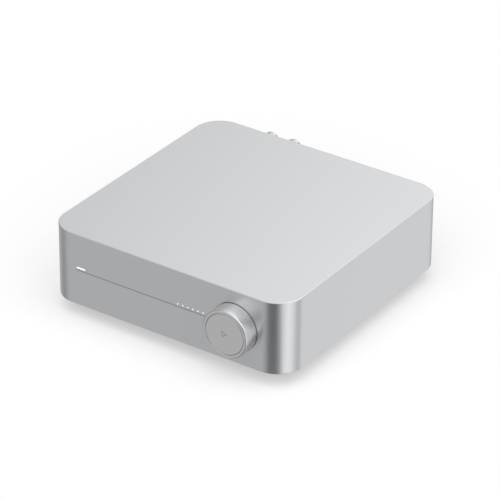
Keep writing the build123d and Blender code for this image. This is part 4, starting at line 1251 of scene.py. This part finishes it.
@dataclass
class SpeakerPosts:
    """Four speaker posts: threaded studs, coloured collars, clamp washers and fluted screw caps."""

    bench: Bench
    stud_edge: float = 0.12 * MM
    neck_radius: float = 4.1 * MM
    neck_depth: float = 3.8 * MM
    hole_radius: float = 3.0 * MM
    collar_ring: float = 1.1 * MM
    collar_foot: float = 1.4 * MM
    collar_step: float = 0.25 * MM
    collar_soft: float = 0.2 * MM
    collar_columns: int = 120
    flutes: int = 16
    flute_columns: int = 14
    flute_radius: float = 0.55 * MM
    flute_margin: float = 2.5 * MM
    runout: float = 0.6 * MM
    runout_rows: int = 7
    cap_bore: float = 3.02 * MM
    cap_mouth: float = 2.5 * MM
    cap_lip: float = 1.0 * MM
    cap_edge: float = 0.8 * MM
    soft: float = 0.25 * MM
    fine: float = 0.1 * MM

    def build(self) -> None:
        """Models collars, washers and caps, and dresses the studs and nuts."""
        self.bench.dress("post_studs", STUD_GOLD, round_edge=self.stud_edge)
        self.bench.dress("post_nuts", NICKEL, round_edge=self.stud_edge)
        for sign, finish in (("plus", RED_PLASTIC), ("minus", BLACK_PLASTIC)):
            self._collars(sign, finish)
            for side in ("left", "right"):
                self._washer(f"{side}_{sign}")
                self._cap(f"{side}_{sign}")

    def _collars(self, sign: str, finish: Finish) -> None:
        """Both collars of one colour: a flanged bush with a raised ring on its outer face.

        Args:
            sign: plus or minus.
            finish: The collars' finish.
        """
        node = f"post_collars_{sign}"
        room = Room(node)
        radius = (room.high.z - room.low.z) / 2
        face = room.high.y - self.bench.panel_y
        inner, low_face = self.hole_radius, face - self.collar_step
        profile = rounded([
            (inner, -self.neck_depth, 0.0), (self.neck_radius, -self.neck_depth, self.soft),
            (self.neck_radius, 0, 0.0), (radius, 0, self.fine), (radius, face, 2 * self.soft),
            (radius - self.collar_ring, face, self.collar_soft),
            (radius - self.collar_foot, low_face, self.collar_soft), (inner, low_face, self.fine),
        ])
        skin = Skin(f"collars_{sign}")
        for x in (room.low.x + radius, room.high.x - radius):
            axis = Axis((x, self.bench.panel_y, room.z))
            skin.turned(axis, profile, self.collar_columns)
        self.bench.fit(skin, finish, "root", node)

    def _washer(self, post: str) -> None:
        """A plated washer with soft edges.

        Args:
            post: The post's name.
        """
        node = f"clamp_washer_{post}"
        room = Room(node)
        axis, start, end = room.from_face(self.bench.panel_y)
        profile = rounded([
            (room.radius, start, self.soft), (room.radius, end, self.soft),
            (self.cap_bore, end, self.fine), (self.cap_bore, start, self.fine),
        ], steps=3)
        skin = Skin(f"washer_{post}")
        skin.turned(axis, profile)
        self.bench.fit(skin, GOLD, f"washer_{post}", node)

    def _cap(self, post: str) -> None:
        """A screw cap with scalloped flutes along its grip.

        A flute is a round channel beside the grip: at an angle a from its middle the surface lies
        at D cos a - sqrt(r^2 - D^2 sin^2 a), where D is the channel's distance from the axis and r
        its radius, wherever that is inside the grip. Its depth fades over a short run-out at both
        ends of the grip.

        Args:
            post: The post's name.
        """
        node = f"post_cap_{post}"
        room = Room(node)
        axis, start, end = room.from_face(self.bench.panel_y)
        radius = room.radius
        grip_low, grip_high = start + self.flute_margin, end - self.flute_margin
        shape = rounded([
            (radius, start, self.soft), (radius, end, self.cap_edge),
            (self.cap_mouth, end, self.soft), (self.cap_mouth, end - self.cap_lip, self.fine),
            (self.cap_bore, end - self.cap_lip, 0.0), (self.cap_bore, start, self.fine),
        ])
        ease = self.runout * (1 - np.cos(np.linspace(0, math.pi, self.runout_rows))) / 2
        grip = np.concatenate([grip_low + ease, grip_high - ease[::-1]])
        first = np.flatnonzero(shape[:, 1] > start + 2 * self.soft)[0]
        rows = np.column_stack([np.full(len(grip), radius), grip])
        profile = np.vstack([shape[:first], rows, shape[first:]])
        columns = self.flutes * self.flute_columns
        pitch = TURN / self.flutes
        angle = (np.arange(columns) * TURN / columns + pitch / 2) % pitch - pitch / 2
        distance = radius + self.flute_radius / 2
        inside = np.clip(self.flute_radius ** 2 - (distance * np.sin(angle)) ** 2, 0, None)
        channel = np.where(inside > 0, distance * np.cos(angle) - np.sqrt(inside), radius)
        depth = np.clip(radius - channel, 0, None)
        rise = np.clip((profile[:, 1] - grip_low) / self.runout, 0, 1)
        fall = np.clip((grip_high - profile[:, 1]) / self.runout, 0, 1)
        on_grip = (np.abs(profile[:, 0] - radius) < TOUCH) * np.sqrt(rise * fall)
        skin = Skin(f"screw_cap_{post}")
        skin.turned(axis, profile, columns, -on_grip[:, None] * depth)
        self.bench.fit(skin, GOLD, f"cap_{post}", node)


@dataclass
class PhonoSockets:
    """Three phono sockets: plated sleeves round coloured cores."""

    bench: Bench
    bore_radius: float = 3.45 * MM
    flange_radius: float = 5.6 * MM
    flange_thickness: float = 1.0 * MM
    sleeve_radius: float = 4.15 * MM
    lip_round: float = 0.288 * MM
    core_gap: float = 0.03 * MM
    dish: float = 0.35 * MM
    pin_radius: float = 1.65 * MM
    pin_depth: float = 10.0 * MM
    rim_width: float = 0.55 * MM
    rim_slope: float = 0.3 * MM
    ring_depth: float = 0.12 * MM
    ring_pitch: float = 0.9 * MM
    ring_share: float = 0.28
    ring_count: int = 3
    soft: float = 0.18 * MM
    fine: float = 0.1 * MM
    block_edge: float = 0.2 * MM

    def build(self) -> None:
        """Models the cores and a sleeve round each, and dresses the block behind."""
        colours = {"white": WHITE_PLASTIC, "red": RED_PLASTIC, "black": BLACK_PLASTIC}
        self._sleeves([self._core(colour, finish) for colour, finish in colours.items()])
        self.bench.dress("phono_block", BLACK_PLASTIC, round_edge=self.block_edge)

    def _core(self, colour: str, finish: Finish) -> Axis:
        """A core with a raised rim round the pin's hole, which ends blind.

        Args:
            colour: The core's colour.
            finish: Its finish.

        Returns:
            The core's axis.
        """
        node = f"phono_core_{colour}"
        axis, start, end = Room(node).from_face(self.bench.panel_y)
        radius, rim = self.bore_radius - self.core_gap, self.pin_radius + self.rim_width
        dish, bottom = end - self.dish, end - self.pin_depth
        profile = rounded([
            (NEAR_AXIS, start, 0), (radius, start, self.fine), (radius, dish, self.soft),
            (rim + self.rim_slope, dish, self.soft), (rim, end, self.soft),
            (self.pin_radius, end, self.soft), (self.pin_radius, bottom, self.fine),
            (NEAR_AXIS, bottom, 0),
        ])
        skin = Skin(f"phono_insert_{colour}")
        skin.turned(axis, profile)
        self.bench.fit(skin, finish, "root", node)
        return axis

    def _sleeves(self, axes: list[Axis]) -> None:
        """Flanged barrels with a round lip and shallow ring grooves near the flange.

        Args:
            axes: Their axes, from the panel's face.
        """
        _, start, end = Room("phono_sleeves").from_face(self.bench.panel_y)
        outer, flange = self.sleeve_radius, self.flange_thickness
        corners = [
            (self.bore_radius, start, self.fine), (outer, start, self.fine), (outer, 0, 0),
            (self.flange_radius, 0, self.fine / 2), (self.flange_radius, flange, 2 * self.soft),
            (outer, flange, self.fine),
        ]
        half = self.ring_share * self.ring_pitch
        for number in range(1, self.ring_count + 1):
            middle = flange + number * self.ring_pitch
            corners += [
                (outer, middle - half, 0), (outer - self.ring_depth, middle, self.fine),
                (outer, middle + half, 0),
            ]
        corners += [(outer, end, self.lip_round), (self.bore_radius, end, self.lip_round)]
        profile = rounded(corners, steps=4)
        skin = Skin("phono_barrels")
        for axis in axes:
            skin.turned(axis, profile)
        self.bench.fit(skin, GOLD, "root", "phono_sleeves")


@dataclass
class Sockets:
    """The square sockets, their tongues and contacts, and the mains inlet with its pins."""

    bench: Bench
    plate_edge: float = 0.06 * MM
    tongue_edge: float = 0.08 * MM
    housing_edge: float = 0.2 * MM
    contact_edge: float = 0.05 * MM
    inlet_edge: float = 0.25 * MM
    tv_contacts: int = 10
    tv_pitch: float = 1.0 * MM
    media_contacts: int = 4
    media_pitch: float = 2.5 * MM
    strip_share: float = 0.19
    strip_height: float = 0.05 * MM
    strip_length: float = 6.0 * MM
    strip_setback: float = 0.5 * MM
    tongue_height: float = 1.0 * MM
    media_tongue_height: float = 1.8 * MM
    media_rise: float = 0.9 * MM
    pin_radius: float = 1.18 * MM
    pin_foot: float = 0.2 * MM
    pin_dome: float = 1.003 * MM
    pin_columns: int = 64

    def build(self) -> None:
        """Dresses the sockets and models their contact strips and the inlet's pins."""
        for name, finish, edge in (
            ("tv_socket", TIN, self.plate_edge), ("media_socket", TIN, self.plate_edge),
            ("tv_tongue", BLACK_PLASTIC, self.tongue_edge),
            ("media_tongue", WHITE_PLASTIC, self.tongue_edge),
            ("network_socket", BLACK_PLASTIC, self.housing_edge),
            ("network_contacts", GOLD, self.contact_edge),
            ("optical_socket", BLACK_PLASTIC, self.housing_edge),
            ("optical_shutter", BLACK_PLASTIC, self.plate_edge),
            ("power_inlet", BLACK_PLASTIC, self.inlet_edge),
        ):
            self.bench.dress(name, finish, round_edge=edge)
        self._strips()
        self._pins()

    def _strips(self) -> None:
        """Gold contact strips on the two tongues, in even rows.

        Each row has its tongue, the rise of the tongue's surface over the middle of its box, the
        side it is on, 1 for the upper and -1 for the lower, how many strips, and their pitch.
        """
        skin = Skin("contact_strips")
        upper, under = self.tongue_height / 2, self.media_rise - self.media_tongue_height / 2
        for node, rise, side, count, pitch in (
            ("tv_tongue", -upper, -1, self.tv_contacts - 1, self.tv_pitch),
            ("tv_tongue", upper, 1, self.tv_contacts, self.tv_pitch),
            ("media_tongue", under, -1, self.media_contacts, self.media_pitch),
        ):
            tongue = Room(node)
            y = tongue.high.y - (self.strip_length + self.strip_setback) / 2
            z = tongue.z + rise + side * self.strip_height / 2
            half_length = (self.strip_length - self.strip_setback) / 2
            half = self.strip_share * pitch, half_length, self.strip_height / 2
            for number in range(count):
                skin.block((tongue.x + (number - (count - 1) / 2) * pitch, y, z), half)
        self.bench.fit(skin, GOLD, "root")

    def _pins(self) -> None:
        """Two round pins with domed ends."""
        room = Room("power_pins")
        reach = room.high.y - room.low.y
        profile = rounded([
            (2 * NEAR_AXIS, 0, 0), (self.pin_radius, 0, self.pin_foot),
            (self.pin_radius, reach, self.pin_dome), (2 * NEAR_AXIS, reach, 0),
        ], steps=8)
        skin = Skin("inlet_pins")
        for z in (room.low.z + self.pin_radius, room.high.z - self.pin_radius):
            skin.turned(Axis((room.x, room.low.y, z)), profile, self.pin_columns)
        self.bench.fit(skin, NICKEL, "root", "power_pins")


@dataclass
class RearPanel:
    """The moulded rear panel, with a plus and a minus between the speaker posts."""

    bench: Bench
    panel_edge: float = 0.15 * MM
    mark_size: float = 2.6 * MM
    mark_line: float = 0.55 * MM
    ink: float = 0.03 * MM

    def build(self) -> None:
        """Dresses the panel and adds its marks."""
        self.bench.dress("rear_panel", PANEL_PLASTIC, round_edge=self.panel_edge)
        skin = Skin("polarity_marks")
        plus, minus = Room("post_collars_plus"), Room("post_collars_minus")
        size, line = self.mark_size, self.mark_line
        arm = (size - line) / 2
        away = (line + arm) / 2
        for room, rise, width, height in (
            (plus, 0, size, line), (plus, -away, line, arm), (plus, away, line, arm),
            (minus, 0, size, line),
        ):
            middle = room.x, self.bench.panel_y, room.z + rise
            skin.block(middle, (width / 2, self.ink, height / 2))
        self.bench.fit(skin, MARK_INK, "root")


@dataclass
class Insides:
    """The boards and what they carry."""

    bench: Bench

    def build(self) -> None:
        """Dresses every inner piece."""
        for name, finish in {
            "light_baffle": BLACK_PLASTIC, "front_boards": LAMINATE, "light_chips": WHITE_PLASTIC,
            "small_screws": ZINC, "main_board": LAMINATE, "power_board": LAMINATE,
            "board_screws": ZINC, "streaming_board": LAMINATE, "module_spacers": NICKEL,
            "radio_shield": TIN, "amplifier_chip": CHIP_RESIN, "heatsink": SINK_METAL,
            "output_chokes": WINDING, "capacitors": CAN_SLEEVE, "transformer": WINDING,
            "antennas": LAMINATE, "mains_leads": LEAD_SLEEVE, "ribbon": LEAD_SLEEVE,
        }.items():
            self.bench.dress(name, finish)


def main() -> None:
    """Loads the frame, sets the studio and builds each sub-assembly in order."""
    logging.basicConfig(level=logging.INFO, format="%(name)s: %(message)s")
    for item in list(bpy.data.objects):
        bpy.data.objects.remove(item)
    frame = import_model()
    bpy.context.scene.view_settings.view_transform = "Standard"
    Viewpoint().build()
    Studio().build()
    bench = Bench(frame["nodes"], Room("post_collars_plus").high.y - COLLAR_PROUD)
    for kind in (Case, Knob, SpeakerPosts, PhonoSockets, Sockets, RearPanel, Insides):
        LOG.info("building %s", kind.__name__)
        kind(bench).build()


if __name__ == "__main__":
    main()
